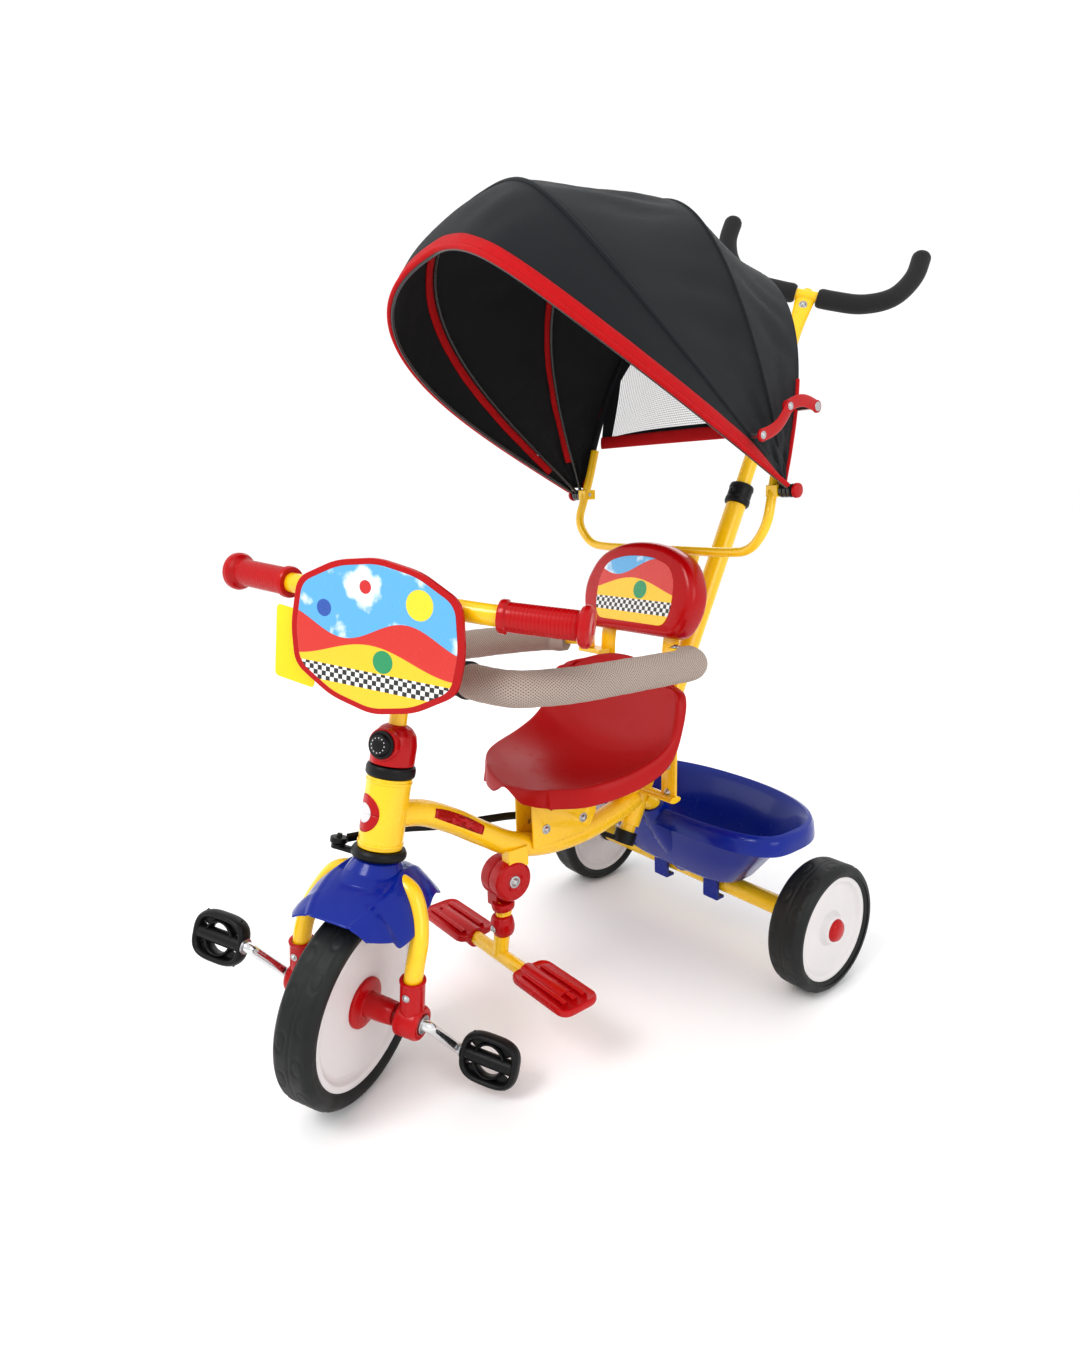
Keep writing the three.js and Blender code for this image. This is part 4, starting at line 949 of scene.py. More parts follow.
def through(values):
    """A smooth curve through evenly spaced values, as a function of 0 to 1."""
    path = smooth([(i, v, 0) for i, v in enumerate(values)], (len(values) - 1) * 8)
    return lambda t: float(np.interp(t * (len(values) - 1), path[:, 0], path[:, 1]))


edge_half, edge_y = through([70, 108, 125, 131, 129, 88]), through([236, 268, 325, 378, 402, 417])
edge_z = through([296, 303, 313, 338, 385, 428])
middle_y, middle_z = through([222, 258, 310, 362, 402, 421]), through([314, 316, 314, 322, 372, 449])


BOWL, ROLLED = 0.84, 0.16  # shares of the half width: the bowl, then the edge that rolls over
EDGE = 7


def saddle(u, v):
    """Bowl and back of the seat, from its nose at v = 0 to its top edge at v = 1."""
    side = 2 * u - 1
    across = abs(side)
    upright = ease(v, 0.55, 0.9)
    crest_z = edge_z(v) + 24 * (1 - 0.6 * upright) * (1 - ease(v, 0.85, 1))
    crest_y = edge_y(v) - 12 * upright
    crest_x = edge_half(v) - EDGE
    if across <= BOWL:
        t = across / BOWL
        bowl = t ** 2.2
        x, y = crest_x * t, middle_y(v) + (crest_y - middle_y(v)) * bowl
        z = middle_z(v) + (crest_z - middle_z(v)) * bowl
    else:
        t = (across - BOWL) / ROLLED
        x = crest_x + EDGE * math.sin(t * math.pi / 2)
        y = crest_y + (edge_y(v) - crest_y) * t
        z = crest_z + (edge_z(v) - crest_z) * (1 - math.cos(t * math.pi / 2))
    return math.copysign(x, side), y, z


def saddle_skin(u, v):
    """The whole saddle: its nose turned down and arched over the tube, then bowl and back."""
    turned = 0.13
    if v >= turned:
        return saddle(u, (v - turned) / (1 - turned))
    t = 1 - v / turned
    x, y, z = saddle(u, 0)
    arch = 296 + 7.5 * (1 + math.cos(math.pi * min(abs(x) / 34, 1)))
    low = min(arch, z)
    out = 5 * math.sin(t * math.pi / 2) * (1 - 0.6 * ease(abs(x), 50, 70))
    return x, y - out, z + (low - z) * t ** 1.5


seat = Piece("saddle_shell", "frame", ("seat",), ROOT, "red_plastic")
seat.add(sheet(saddle_skin, 72, 52, (0.3, 0.35)), RED_SEAT)
seat.done(thickness=4.6, offset=-1.0, angle=0, subdivide=1)


def outline_of(corners, bend, steps=6):
    """A closed outline through the corners, each of them rounded."""
    path = bent([(x, z, 0) for x, z in corners + corners[:2]], bend, steps)
    return [(p[0], p[1]) for p in path[1:-1]][:len(corners) * (steps + 1)]


def mirrored_outline(half):
    return half + [(-x, z) for x, z in reversed(half) if x]


back_place = moved(0, 429, 478) @ turn(-13, "X")
back_half = [(84, 0), (101, 30), (103, 62), (84, 100), (44, 119), (0, 124)]
outline = outline_of(mirrored_outline(back_half), 22)
rest = Piece("backrest_shell", "frame", ("seat_back",), back_place, "red_plastic")
steps = [(0, 12.0), (1.2, 7.0), (4, 3.0), (8, 0.8), (12, 0), (26, 0), (30, 0.8), (33, 3.4), (34, 8)]
rings, faces = stacked(outline, np.array([0, 62.0]), steps)
points = np.array([(x, depth, z) for x, z, depth in rings])
rest.add((points, faces, flat_uv(points)), RED).done(angle=30)

# ---- pictures of the builder's own design


def hill_scene(name):
    """Printed card: a sky with clouds, two waves of hills, a checked road and four discs."""
    n = Nodes(name)
    u, v, _ = n.parts(n.uv())
    cloud = n.span(n.noise(26, 4), 0.52, 0.6)
    sky = n.mix(cloud, (0.12, 0.42, 0.72), (0.75, 0.83, 0.88))
    wave = n.math("MULTIPLY", n.sine(u, 42.0), 0.012)
    level = n.math("SUBTRACT", v, wave)
    far = n.math("LESS_THAN", level, 0.088)
    sky = n.mix(far, sky, (0.62, 0.03, 0.02))
    wave = n.math("MULTIPLY", n.math("SINE", n.math("ADD", n.math("MULTIPLY", u, 31.0), 1.7)), 0.011)
    near = n.math("LESS_THAN", n.math("SUBTRACT", v, wave), 0.062)
    sky = n.mix(near, sky, (0.88, 0.56, 0.02))
    road = n.math("LESS_THAN", n.math("ABSOLUTE", n.math("SUBTRACT", v, 0.036)), 0.009)
    check = n.add("TexChecker", {"Vector": n.uv(), "Scale": 190.0}).outputs["Fac"]
    sky = n.mix(road, sky, n.mix(check, (0.02, 0.02, 0.02), (0.8, 0.8, 0.78)))
    for x, y, radius, color in (
        (0.052, 0.122, 0.0155, (0.92, 0.66, 0.03)), (-0.062, 0.104, 0.009, (0.03, 0.1, 0.4)),
        (-0.012, 0.132, 0.007, (0.6, 0.02, 0.02)), (0.012, 0.058, 0.012, (0.02, 0.3, 0.12)),
    ):
        dx, dy = n.math("SUBTRACT", u, x), n.math("SUBTRACT", v, y)
        away = n.math("SQRT", n.math("ADD", n.math("MULTIPLY", dx, dx), n.math("MULTIPLY", dy, dy)))
        sky = n.mix(n.math("LESS_THAN", away, radius), sky, color)
    n.set(Base_Color=sky, Roughness=n.span(n.noise(60, 4), 0.3, 0.7, 0.22, 0.34))
    n.set(Coat_Weight=0.4, Coat_Roughness=0.1)
    n.bump(n.noise(500, 2), 0.15, 0.00005)
    return n.material


PICTURE = hill_scene("printed_hills")
CARD = moulded("yellow_card", (0.86, 0.66, 0.02), 0.5)

panel_half = [(62, 14), (70, 34), (70, 70), (58, 92), (30, 101), (0, 103)]
panel = Piece("backrest_picture", "frame", (), back_place, "red_plastic")
shape = outline_of(mirrored_outline(panel_half), 14)
panel.add(plate(shape, 0.9, -0.7), PICTURE).done(bevel=0.4)

# ---- safety ring
GUARD = [(140, 404, 458), (146, 330, 462), (146, 204, 466)]
GUARD += [(122, 150, 467), (88, 139, 468), (50, 138, 468)]
for side, name in SIDES:
    flip = ROOT if side > 0 else MIRROR
    body = f"{name}_guard"
    line = resample(bent([(112, 418, 457), *GUARD], 42), 4)
    radii = []
    for k in range(len(line)):
        from_end = min(k, len(line) - 1 - k) * 4
        uneven = 0.25 * math.sin(k * 0.9) * math.sin(k * 0.37)
        radii.append(19.5 * (0.9 + 0.1 * ease(from_end, 0, 12)) + uneven)
    foam = Piece(f"ring_foam_{name}", body, (f"guard_arm_{name}",), flip, "grey_foam")
    foam.add(sweep(line, radii, 40, up=(0, 0, 1)), KNIT)
    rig.padded(foam.done(), fill=0.9)
    steel = Piece(f"ring_arm_{name}", body, (), flip, "yellow_paint")
    arm = bent([(GUARD_X, GUARD_Y, 457), (110, 419.5, 457), (120, 414, 457)], 8)
    steel.add(sweep(resample(arm, 3), 8, 24, up=(0, 0, 1)), YELLOW)
    eye = spun([(3.6, 447), (10, 447), (10, 467), (3.6, 467)], 1, 32)
    steel.add(eye, YELLOW, moved(GUARD_X, GUARD_Y, 0))
    end = spun([(0, 0), (20.4, 0), (21.2, 1.5), (21.2, 4.4), (18, 6), (0, 6)], 0.8, 56)
    steel.add(end, BLACK, moved(50.6, 138, 468) @ turn(90, "Y"))
    steel.done(bevel=0.3)

# ---- steering
STEM = [tuple(on_axis(HEAD, 141)), tuple(on_axis(HEAD, 338)), (0, BAR_Y, BAR_Z)]
stem = tube("stem_skin", "steering_stem", "steering", bent(STEM, 22), 10, STEER)
stem.add(block((66, 14, 6), (0, 0, 142)), YELLOW, onto(HEAD))
clasp = spun([(11.3, -15), (14.5, -15), (14.5, 15), (11.3, 15)], 1, 40, "X")
stem.add(clasp, YELLOW, moved(0, BAR_Y, BAR_Z))
stem.done()

LEG = [(28, 38, 255), (50, 33, 248), (64, 25, 228), (72, 14, 206), (74, 4, 182)]
LEG += [(74, 0, 160), (74, 0, 138)]
for side, name in SIDES:
    flip = STEER if side > 0 else STEER @ MIRROR
    leg = tube(f"fork_skin_{name}", f"fork_leg_{name}", "steering", smooth(LEG, 60), 10.5, flip, 3)
    leg.done()
    boot = Piece(f"bearing_shell_{name}", "steering", (f"axle_bearing_{name}",), flip, "red_plastic")
    sleeve = [(0, 126), (13.6, 126), (13.6, 164), (14.6, 165.5), (14.6, 168), (10.6, 168), (10.6, 166)]
    boot.add(spun(sleeve, 1.2, 48), RED, moved(74, 0, 0))
    knob = [(0, 59), (17, 59), (19, 61), (19, 84), (17, 88), (11.5, 88), (11, 86), (8, 86), (0, 86)]
    boot.add(spun(knob, 1.3, 56, "X"), RED, moved(0, 0, FRONT_R))
    washer = spun([(6.4, 86), (10.2, 86), (10.2, 90), (6.4, 90)], 0.6, 40, "X")
    boot.add(washer, ZINC, moved(0, 0, FRONT_R))
    bolt(boot, moved(74, -13.4, 152) @ turn(90, "X"), 3, 2.2)
    boot.done()

guard_y, guard_z = through([-47, -22, 8, 40, 70, 98]), through([240, 252, 262, 267, 257, 228])
guard_half, guard_drop = through([46, 62, 69, 60, 54, 48]), through([9, 30, 48, 48, 34, 16])


def fender(u, v):
    """Top of the mudguard, from its front edge to its back edge, with a ridge down each side."""
    side = 2 * u - 1
    drop = guard_drop(v) * abs(side) ** 3.6
    ridge = 1.6 * math.exp(-((abs(side) - 0.55) / 0.05) ** 2)
    return side * guard_half(v), guard_y(v), guard_z(v) - drop + ridge


mudguard = Piece("mudguard_shell", "steering", ("mudguard",), STEER, "blue_plastic")
mudguard.add(sheet(fender, 72, 48, (0.15, 0.16)), BLUE)
mudguard.done(thickness=2.6, offset=1.0, angle=0, subdivide=1)
cone = Piece("mudguard_collar", "steering", (), STEER @ onto(HEAD), "blue_plastic")
flare = [(12, 162.4), (25, 162.4), (28, 158), (34, 149), (45, 140), (44, 136), (30, 144), (12, 150)]
cone.add(lathe(rounded(flare, 2.2, 4) + [(12, 162.4)], 72), BLUE).done()


def on_fender(u, v):
    x, y, z = fender(0.36 + 0.28 * u, 0.12 + 0.2 * v)
    return x, y - 0.2, z + 2.2


badge = Piece("mudguard_sticker", "steering", (), STEER, "white_plastic")
badge.add(sheet(on_fender, 16, 12, (0.036, 0.03)), WHITE)
badge.done(thickness=0.3, angle=0)

lamp_place = moved(0, 0, 292) @ turn(90, "X")
cap = Piece("head_cap_shell", "steering", ("head_cap",), STEER @ onto(HEAD), "red_plastic")
dome = [(10.4, 268.8), (25, 268.8), (25, 292), (22.6, 303), (17, 310), (11.4, 313), (10.4, 313)]
cap.add(spun(dome, 2, 72, steps=5), RED)
cap.add(spun([(0, 8), (18, 8), (18, 25.2), (0, 25.2)], 1, 48), RED, lamp_place)
cap.done()
lamp_place = STEER @ onto(HEAD) @ lamp_place
lamp = Piece("headlamp_shell", "steering", ("headlamp",), lamp_place, "black_plastic")
glass = [(0, 25.6), (15.5, 25.6), (15.5, 28.6), (13, 29.4), (12.2, 28.8), (11, 32), (6, 35), (0, 36)]
lamp.add(spun(glass, 0.7, 56, steps=4), BLACK)
for k in range(12):
    t = math.radians(30 * k)
    stud = lathe([(0, 1), (0.9, 0.7), (1, -1), (0, -1)], 10)
    lamp.add(stud, ZINC, moved(8 * math.cos(t), 8 * math.sin(t), 33.3))
lamp.done()

SWEEP = math.radians(8.6)
bar_end = (BAR_BEND + 98 * math.cos(SWEEP), BAR_Y + 98 * math.sin(SWEEP), BAR_Z)
bends = [(BAR_BEND, BAR_Y, BAR_Z), (-BAR_BEND, BAR_Y, BAR_Z)]
bar_line = bent([bar_end, *bends, (-bar_end[0], *bar_end[1:])], 14)
tube("handlebar_skin", "handlebar", "steering", bar_line, 11, STEER, up=(0, 0, 1)).done()
ribs = [(11.6, 12.4), (16.6, 12), (17.4, 14), (17.4, 18.5), (15, 20.5)]
for k in range(17):
    x = 22.5 + k * 4
    ribs += [(15.1, x), (15.1, x + 2.6), (14.75, x + 3.0), (14.75, x + 3.6)]
ribs += [(15.4, 91), (19.4, 93.4), (21.2, 96.5), (21, 101.4), (17.5, 104.2), (10, 105), (0, 105)]
for side, name in SIDES:
    flip = STEER if side > 0 else STEER @ MIRROR
    place = flip @ moved(BAR_BEND, BAR_Y, BAR_Z) @ turn(math.degrees(SWEEP), "Z")
    grip = Piece(f"grip_shell_{name}", "steering", (f"handlebar_grip_{name}",), place, "red_plastic")
    grip.add(lathe(ribs, 56, "X"), RED)
    grip.add(spun([(0, 106.6), (6, 106.2), (8, 104.6), (0, 104.6)], 0.5, 30, "X"), RED)
    grip.done(angle=25)

plaque_place = STEER @ moved(0, 27, 446) @ turn(-3, "X")
plaque_half = [(52, 11), (99, 38), (105, 80), (98, 131), (50, 155), (0, 163)]
corners = [(0, 0)] + mirrored_outline(plaque_half)
plaque = Piece("plaque_board", "steering", ("front_plaque",), plaque_place, "red_plastic")
plaque.add(plate(outline_of(corners, 14), 5, 0), RED)
inner = [(x * 0.93, 82 + (z - 82) * 0.925) for x, z in corners]
plaque.add(plate(outline_of(inner, 13), 1.2, -0.5), PICTURE)
for side in (1, -1):
    plaque.add(block((12, 26, 16), (side * 62, 18, 116)), RED)
    clip = spun([(11.4, -6), (15, -6), (15, 6), (11.4, 6)], 0.8, 40, "X")
    plaque.add(clip, RED, moved(side * 62, 26.5, 118.8))
plaque.done(bevel=0.7)
card = Piece("yellow_card_back", "steering", (), plaque_place, "yellow_paint")
shape = outline_of([(-133, 18), (-80, 12), (-78, 92), (-131, 98)], 6)
card.add(plate(shape, 9.4, 8.6), CARD).done(bevel=0.25)

# ---- parent handle and rod
push = Piece("push_tube_skin", "parent_handle", ("push_tube",), HANDLE @ onto(POLE), "yellow_paint")
heights = [0, 6, 780, 800, 818, 834, 846, 852]
sizes = [(11, 11), (11, 11), (11, 11), (11.6, 9.4), (13, 6), (14.4, 4.6), (12.5, 4.4), (6, 3.8)]
push.add(sweep([(0, 0, h) for h in heights], sizes, 40), YELLOW)
push.add(spun([(0, -12), (15.5, -12), (15.5, 6), (11.2, 6), (0, 6)], 1, 44), BLACK)
push.add(block((42.8, 14, 6), (-21.4, 0, -9)), BLACK)
push.add(spun([(0, -12), (9, -12), (9, -6), (0, -6)], 0.8, 36), BLACK, moved(ARM_X, 0, 0))
push.add(spun([(0, -12), (3, -12), (3, 16), (0, 16)], 0.6, 20), ZINC, moved(ARM_X, 0, 0))
push.add(sweep([(-20, 0, 842), (20, 0, 842)], 8, 28, up=(0, 1, 0)), YELLOW)
bolt(push, moved(0, -5, 824) @ turn(90, "X"), 4.2, 3)
push.done(bevel=0.5)
GRIP = [(16, 0, 842), (40, 0, 842), (82, 0, 846), (120, 0, 866), (139, 0, 902), (141, 0, 939)]
line = resample(smooth(GRIP, 60), 3)
from_end = [min(k, len(line) - 1 - k, 2) for k in range(len(line))]
radii = [13.5 * math.sqrt(max(1 - (1 - k / 2) ** 2 * 0.35, 0)) for k in from_end]
for side, name in SIDES:
    place = HANDLE @ onto(POLE) @ (ROOT if side > 0 else MIRROR)
    foam = Piece(f"handle_foam_{name}", "parent_handle", (f"handle_grip_{name}",), place, "black_foam")
    foam.add(sweep(line, radii, 40, up=(0, 1, 0)), FOAM)
    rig.padded(foam.done(), fill=0.95)


def steered(point, a):
    """Where a point goes as its axis turns from straight ahead to the pose of the photograph."""
    return turned_with(a) @ Vector(point)


front_pin = steered(on_axis(HEAD, 169) + Vector((-54, 0, 0)), HEAD)
rear_pin = steered(on_axis(POLE, 5) + Vector((ARM_X, 0, 0)), POLE)
way = [(-38, 90, 282), (-36, 150, 268), (-36, 262, 252), (-34, 330, 228)]
way = [front_pin + Vector((1, 9.5, -1)), *way, rear_pin + Vector((0, -12, 2))]
rod = Piece("drag_rod_skin", "steering_link", ("drag_rod",), ROOT, "black_plastic")
rod.add(sweep(resample(bent(way, 24), 4), (2.6, 5.2), 20, up=(1, 0, 0)), BLACK)
for pin, a, radius, bore in ((front_pin, HEAD, 10, 3.6), (rear_pin, POLE, 13, 7.2)):
    eye = rounded([(bore, -3), (radius, -3), (radius, 3), (bore, 3)], 0.6)
    rod.add(lathe(closed(eye), 40), BLACK, Matrix.Translation(pin) @ turn(-a["tilt"], "X"))
rod.done()

# ---- footrest
DY, DZ, DR = 214, 192.5, 26.5  # fold joint: where it sits and its radius
fixed = Piece("fold_joint_cover", "frame", ("fold_joint_fixed",), moved(0, DY, DZ), "red_plastic")
half = rounded([(0, 0.4), (DR, 0.4), (DR, 17), (DR - 4, 21.5), (12, 21.5), (10, 19.6), (0, 19.6)], 1.6)
fixed.add(lathe(half, 72, "X"), RED)
fixed.add(block((16, 30, 26), (11, 8, 29)), YELLOW)
bolt(fixed, moved(19.6, 0, 0) @ turn(90, "Y"), 5.4, 3.4)
fixed.done(bevel=1.0)
moving = Piece("fold_joint_half", "footrest", ("fold_joint_moving",), moved(0, DY, DZ), "red_plastic")
moving.add(lathe([(r, -h + 0.2) for r, h in half], 72, "X"), RED)
moving.add(block((20.4, 22, 30), (-10.8, -4, -24)), RED)
collar = spun([(0, 0), (14, 0), (15, 5), (14, 10), (0, 10)], 1, 48)
moving.add(collar, RED, moved(0, 209 - DY, 152 - DZ) @ turn(7.5, "X"))
bolt(moving, moved(-19.4, 0, 0) @ turn(-90, "Y"), 5.4, 3.4)
moving.done(bevel=1.0)
leg = tube("footrest_leg_skin", "footrest_leg", "footrest", [(0, 211, 160), (0, 201, 89)], 10)
leg.add(sweep([(-126, 201, 89), (126, 201, 89)], 9, 32, up=(0, 0, 1)), YELLOW)
ball = [(0, -14), (10.4, -14), (13, -12), (15, -5), (15, 5), (13, 12), (10.4, 14), (0, 14)]
leg.add(spun(ball, 1.6, 48), RED, moved(0, 206.5, 130) @ turn(8, "X"))
bolt(leg, moved(0, 191.6, 128) @ turn(98, "X"), 3.2, 2.4)
leg.done()
for side, name in SIDES:
    flip = ROOT if side > 0 else MIRROR
    outline = outline_of([(52, 175), (158, 175), (158, 231), (52, 231)], 16)
    levels = [(88.6, 3.0), (89.6, 0.9), (92, 0), (95.6, 0), (97.2, 0.9), (97.8, 2.6), (96.4, 5.0)]
    points, faces = stacked(outline, np.array([105, 203.0]), levels)
    foot = Piece(f"foot_plate_shell_{name}", "footrest", (f"foot_plate_{name}",), flip, "red_plastic")
    foot.add((np.array(points), faces, flat_uv(points, 1)), RED)
    for y in (189, 203, 217):
        rib = [(66, y, 97.2), (72, y, 98.2), (138, y, 98.2), (144, y, 97.2)]
        foot.add(sweep(rib, (2.4, 3.4), 16, up=(0, 0, 1)), RED)
    foot.add(spun([(9.2, 54), (13, 54), (13, 130), (9.2, 130)], 1, 40, "X"), RED, moved(0, 201, 89))
    foot.done()

# ---- basket


ROUND = 96  # points round the basket


def basket_ring(half, front, rear, z):
    """One level of the basket: squarer in front of its widest line than behind it."""
    widest = front + (rear - front) * 0.4
    ring = []
    for i in range(ROUND):
        t = i / ROUND * 2 * math.pi
        c, s = math.cos(t), math.sin(t)
        reach, wide, deep = (rear - widest, 0.9, 0.9) if s > 0 else (widest - front, 0.55, 0.5)
        x = math.copysign(half * abs(c) ** wide, c)
        ring.append((x, widest + math.copysign(reach * abs(s) ** deep, s), z))
    return ring


levels = [
    (0.1, 572, 573, 114), (88, 531, 616, 114), (98, 524, 621, 115.4), (106, 519, 627, 121),
    (143, 502, 640, 165), (179, 486, 652, 209), (184, 482, 656, 216), (190, 477, 662, 220.4),
    (196, 473, 667, 218.6), (199.5, 470, 670, 212), (201, 468, 672, 196), (198.5, 470.5, 669.5, 195.6),
    (196.5, 472.5, 667.5, 211), (190, 478, 662, 216), (184, 482, 656, 210), (146, 499, 643, 163),
    (108, 515, 630, 117), (98, 521, 624, 111), (88, 527, 620, 110), (0.1, 572, 573, 110),
]
points = [p for level in levels for p in basket_ring(*level)]
basket = Piece("basket_shell", "frame", ("basket",), ROOT, "blue_plastic")
basket.add((np.array(points), grid_faces(len(levels), ROUND, True), flat_uv(points)), BLUE)
channel = resample(bent([(0, 474, 225), (0, 508, 168), (0, 552, 110)], 30), 5)
basket.add(sweep(channel, (23, 20), 40), BLUE)
for side in (1, -1):
    basket.add(block((26, 5, 44), (side * 50, 551, 92)), BLUE)
    basket.add(block((26, 12, 5), (side * 50, 546, 111)), BLUE)
    basket.add(block((26, 16, 4), (side * 50, 557, 68.5)), BLUE)
basket.done(angle=45)

# ---- canopy
BOWS = {
    "front": dict(side=26.5, lift=9.4, half=192.5, height=430, square=3.2),
    "second": dict(side=38, lift=12.5, half=187, height=422, square=3.2),
    "third": dict(side=70, lift=9, half=181.5, height=342, square=2.8),
    "rear": dict(side=106, lift=-1, half=176, height=292, square=2.5),
}


def bow_outline(bow, extra, steps, start):
    """Evenly spaced (x, reach) along a hoop laid flat, with a share left off at each end."""
    half, height, power = bow["half"] + extra, bow["height"] + extra, 2 / bow["square"]
    t = np.linspace(0, math.pi, 721)
    c, s = np.cos(t), np.clip(np.sin(t), 0, 1)
    x, r = half * np.sign(c) * np.abs(c) ** power, height * s ** power
    gone = np.concatenate([[0], np.cumsum(np.hypot(np.diff(x), np.diff(r)))])
    marks = np.linspace(start, 1 - start, steps + 1) * gone[-1]
    return np.stack([np.interp(marks, gone, x), np.interp(marks, gone, r)], 1)


def fan_point(bow, x, reach, extra=0.0):
    """A point of a hoop that leans by its side angle, and by its lift more at the middle."""
    inward = 1 - min(abs(x / (bow["half"] + extra)), 1) ** 1.4
    angle = math.radians(bow["side"] + bow["lift"] * inward)
    return x, HOOD_Y - reach * math.cos(angle), HOOD_Z + reach * math.sin(angle)


def bow_line(bow, extra=0.0, steps=80, start=0.004):
    return [fan_point(bow, x, r) for x, r in bow_outline(bow, extra, steps, start)]


ACROSS = 168  # stations across the hood
START = 0.013  # share of a hoop's length left bare at each end


def cloth_between(low, high, sag, wrinkle, extra=3.6):
    """Surface of the cloth from one hoop to the next, drawn in between and gathered at the sides."""
    a, b = (bow_outline(BOWS[k], extra, ACROSS, START) for k in (low, high))
    one, two = BOWS[low], BOWS[high]

    def surface(u, v):
        k = min(int(round(u * ACROSS)), ACROSS)
        p = a[k] + (b[k] - a[k]) * v
        mix = {key: one[key] + (two[key] - one[key]) * v for key in one}
        middle = math.sin(math.pi * u)
        dip = sag * middle * math.sin(math.pi * v)
        near_side = 1 - ease(p[1], 60, 230)
        gather = 0.5 + 0.5 * math.sin(u * 31 + 0.7)
        ripple = wrinkle * math.sin(math.pi * v) * (
            math.sin(u * 116 + 5.5 * v + 1.6 * math.sin(u * 17)) * gather
            + math.sin(u * 74 - 4.2 * v + 1.3) * 0.5 + math.sin(v * 13 + u * 9) * 0.7 * near_side
        )
        scale = 1 - (dip + ripple) / max(math.hypot(*p), 60)
        return fan_point(mix, p[0] * (1 - (1 - scale) * 0.5), p[1] * scale, extra)

    return surface


def cut_between(low, high, ease_in):
    """Flat cut of the panel between two bare hoops, worked out from the hoops: its width is the longer
    hoop's length, its depth the widest gap with ease for the sag, and its area the gap summed along."""
    one, two = (np.array(bow_line(BOWS[key], 0.0, 60, START)) * 0.001 for key in (low, high))
    gaps = np.linalg.norm(two - one, axis=1) * (1 + ease_in)
    steps = (spans(one) + spans(two)) / 2
    width = max(spans(hoop).sum() for hoop in (one, two))
    area = ((gaps[1:] + gaps[:-1]) / 2 * steps).sum()
    return float(width), float(gaps.max()), float(area)


def canopy_cloth(name, node, surface, rows, cut):
    piece = Piece(name, None, (node,), ROOT, "canopy_cloth")
    piece.add(sheet(surface, ACROSS, rows, cut[:2]), CLOTH)
    return piece.done(angle=0, thickness=1.2, offset=0.0)


def fold_plane(degrees, reach):
    """Two points, in metres, either side of the hood's pivot: where a panel's blend starts and ends."""
    a = math.radians(degrees)
    n = Vector((0, math.sin(a), math.cos(a))) * reach
    pivot = Vector((0, HOOD_Y - CENTRE, HOOD_Z))
    return tuple((pivot - n) * 0.001), tuple((pivot + n) * 0.001)


HOOP_BODY = {"front": "front_bow", "second": "second_bow", "third": "third_bow", "rear": "frame"}
SAG_EASE = 0.03  # extra depth in each cut, for the sag
brim_surface = cloth_between("front", "second", -5, 0.9)
top_surface = cloth_between("second", "third", 18, 3.4)
crown_surface = cloth_between("third", "rear", 20, 3.0)
for name, node, surface, rows, low, high, middle, reach in (
    ("canopy_brim_cloth", "canopy_brim", brim_surface, 16, "front", "second", 38.5, 26),
    ("canopy_top_cloth", "canopy_top", top_surface, 28, "second", "third", 60, 55),
    ("canopy_crown_cloth", "canopy_rear_top", crown_surface, 28, "third", "rear", 92, 55),
):
    cut = cut_between(low, high, SAG_EASE)
    cloth = canopy_cloth(name, node, surface, rows, cut)
    rests = [f"canopy_bow_{key}" for key in (low, high) if key != "rear"]
    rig.sheet(cloth, flat=cut[:2], held="stretched", rests_on=rests, area=cut[2])
    low_body, high_body = HOOP_BODY[low], HOOP_BODY[high]
    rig.blend(cloth, low_body, high_body, *fold_plane(middle, reach))


BACK_SPAN = 0.955  # share of the rear hoop's width that the back panel takes up
HEM = 78  # how far over the pivot the back panel ends


def back_surface(u, v):
    """The back panel, hung inside the rear hoop: from its hem up to the hoop."""
    bow = BOWS["rear"]
    w, h, square = bow["half"] - 3.4, bow["height"] - 3.4, bow["square"]
    t = (2 * u - 1) * BACK_SPAN
    top_edge = h * (1 - abs(t) ** square) ** (1 / square)
    reach = HEM + (top_edge - HEM) * v
    belly = 12 * math.sin(math.pi * u) * math.sin(math.pi * v)
    angle = math.radians(bow["side"] - (1 - t * t))
    y = HOOD_Y - reach * math.cos(angle) + belly + 6 * (1 - v)
    return w * t, y, HOOD_Z + reach * math.sin(angle)


def inside_window(u, v):
    return abs(2 * u - 1) < 0.88 and 0.05 < v < 0.8


# the panel is cut as wide as its share of the rear hoop, and as deep as the hoop stands over the hem
BACK_CUT = (2 * BOWS["rear"]["half"] * BACK_SPAN * 0.001, (BOWS["rear"]["height"] - HEM) * 0.001)
BACK_AREA = BACK_CUT[0] * BACK_CUT[1] * 0.88  # the hoop rounds its upper corners away
BACK_ACROSS, BACK_UP = 48, 30
points, faces, uv = sheet(back_surface, BACK_ACROSS, BACK_UP, BACK_CUT)
back = Piece("canopy_back_cloth", "frame", ("canopy_back",), ROOT, "canopy_cloth")
cloth_faces, net_faces = [], []
for k, face in enumerate(faces):
    i, j = divmod(k, BACK_ACROSS)
    in_net = inside_window((j + 0.5) / BACK_ACROSS, (i + 0.5) / BACK_UP)
    (net_faces if in_net else cloth_faces).append(face)
back.add((points, cloth_faces, uv), CLOTH)
count = len(back.points)
back.points += back.points[:count]
back.uv += back.uv[:count]
back.faces += [tuple(count + i for i in f) for f in net_faces]
back.materials.append(NET)
back.paint += [1] * len(net_faces)
made = back.done(angle=0)
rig.sheet(made, flat=BACK_CUT, held="hung", rests_on=["canopy_crown_cloth"], area=BACK_AREA)

# ---- hoops and bindings


def binding(name, body, line, width, height, material=BINDING, up=(0, 0, 1)):
    """A roll or tape sewn along a line of the hood; width and height are half sizes."""
    piece = Piece(name, body, (), ROOT, "red_plastic")
    piece.add(sweep(resample(line, 4), (width, height), 16, up=up), material)
    piece.done()


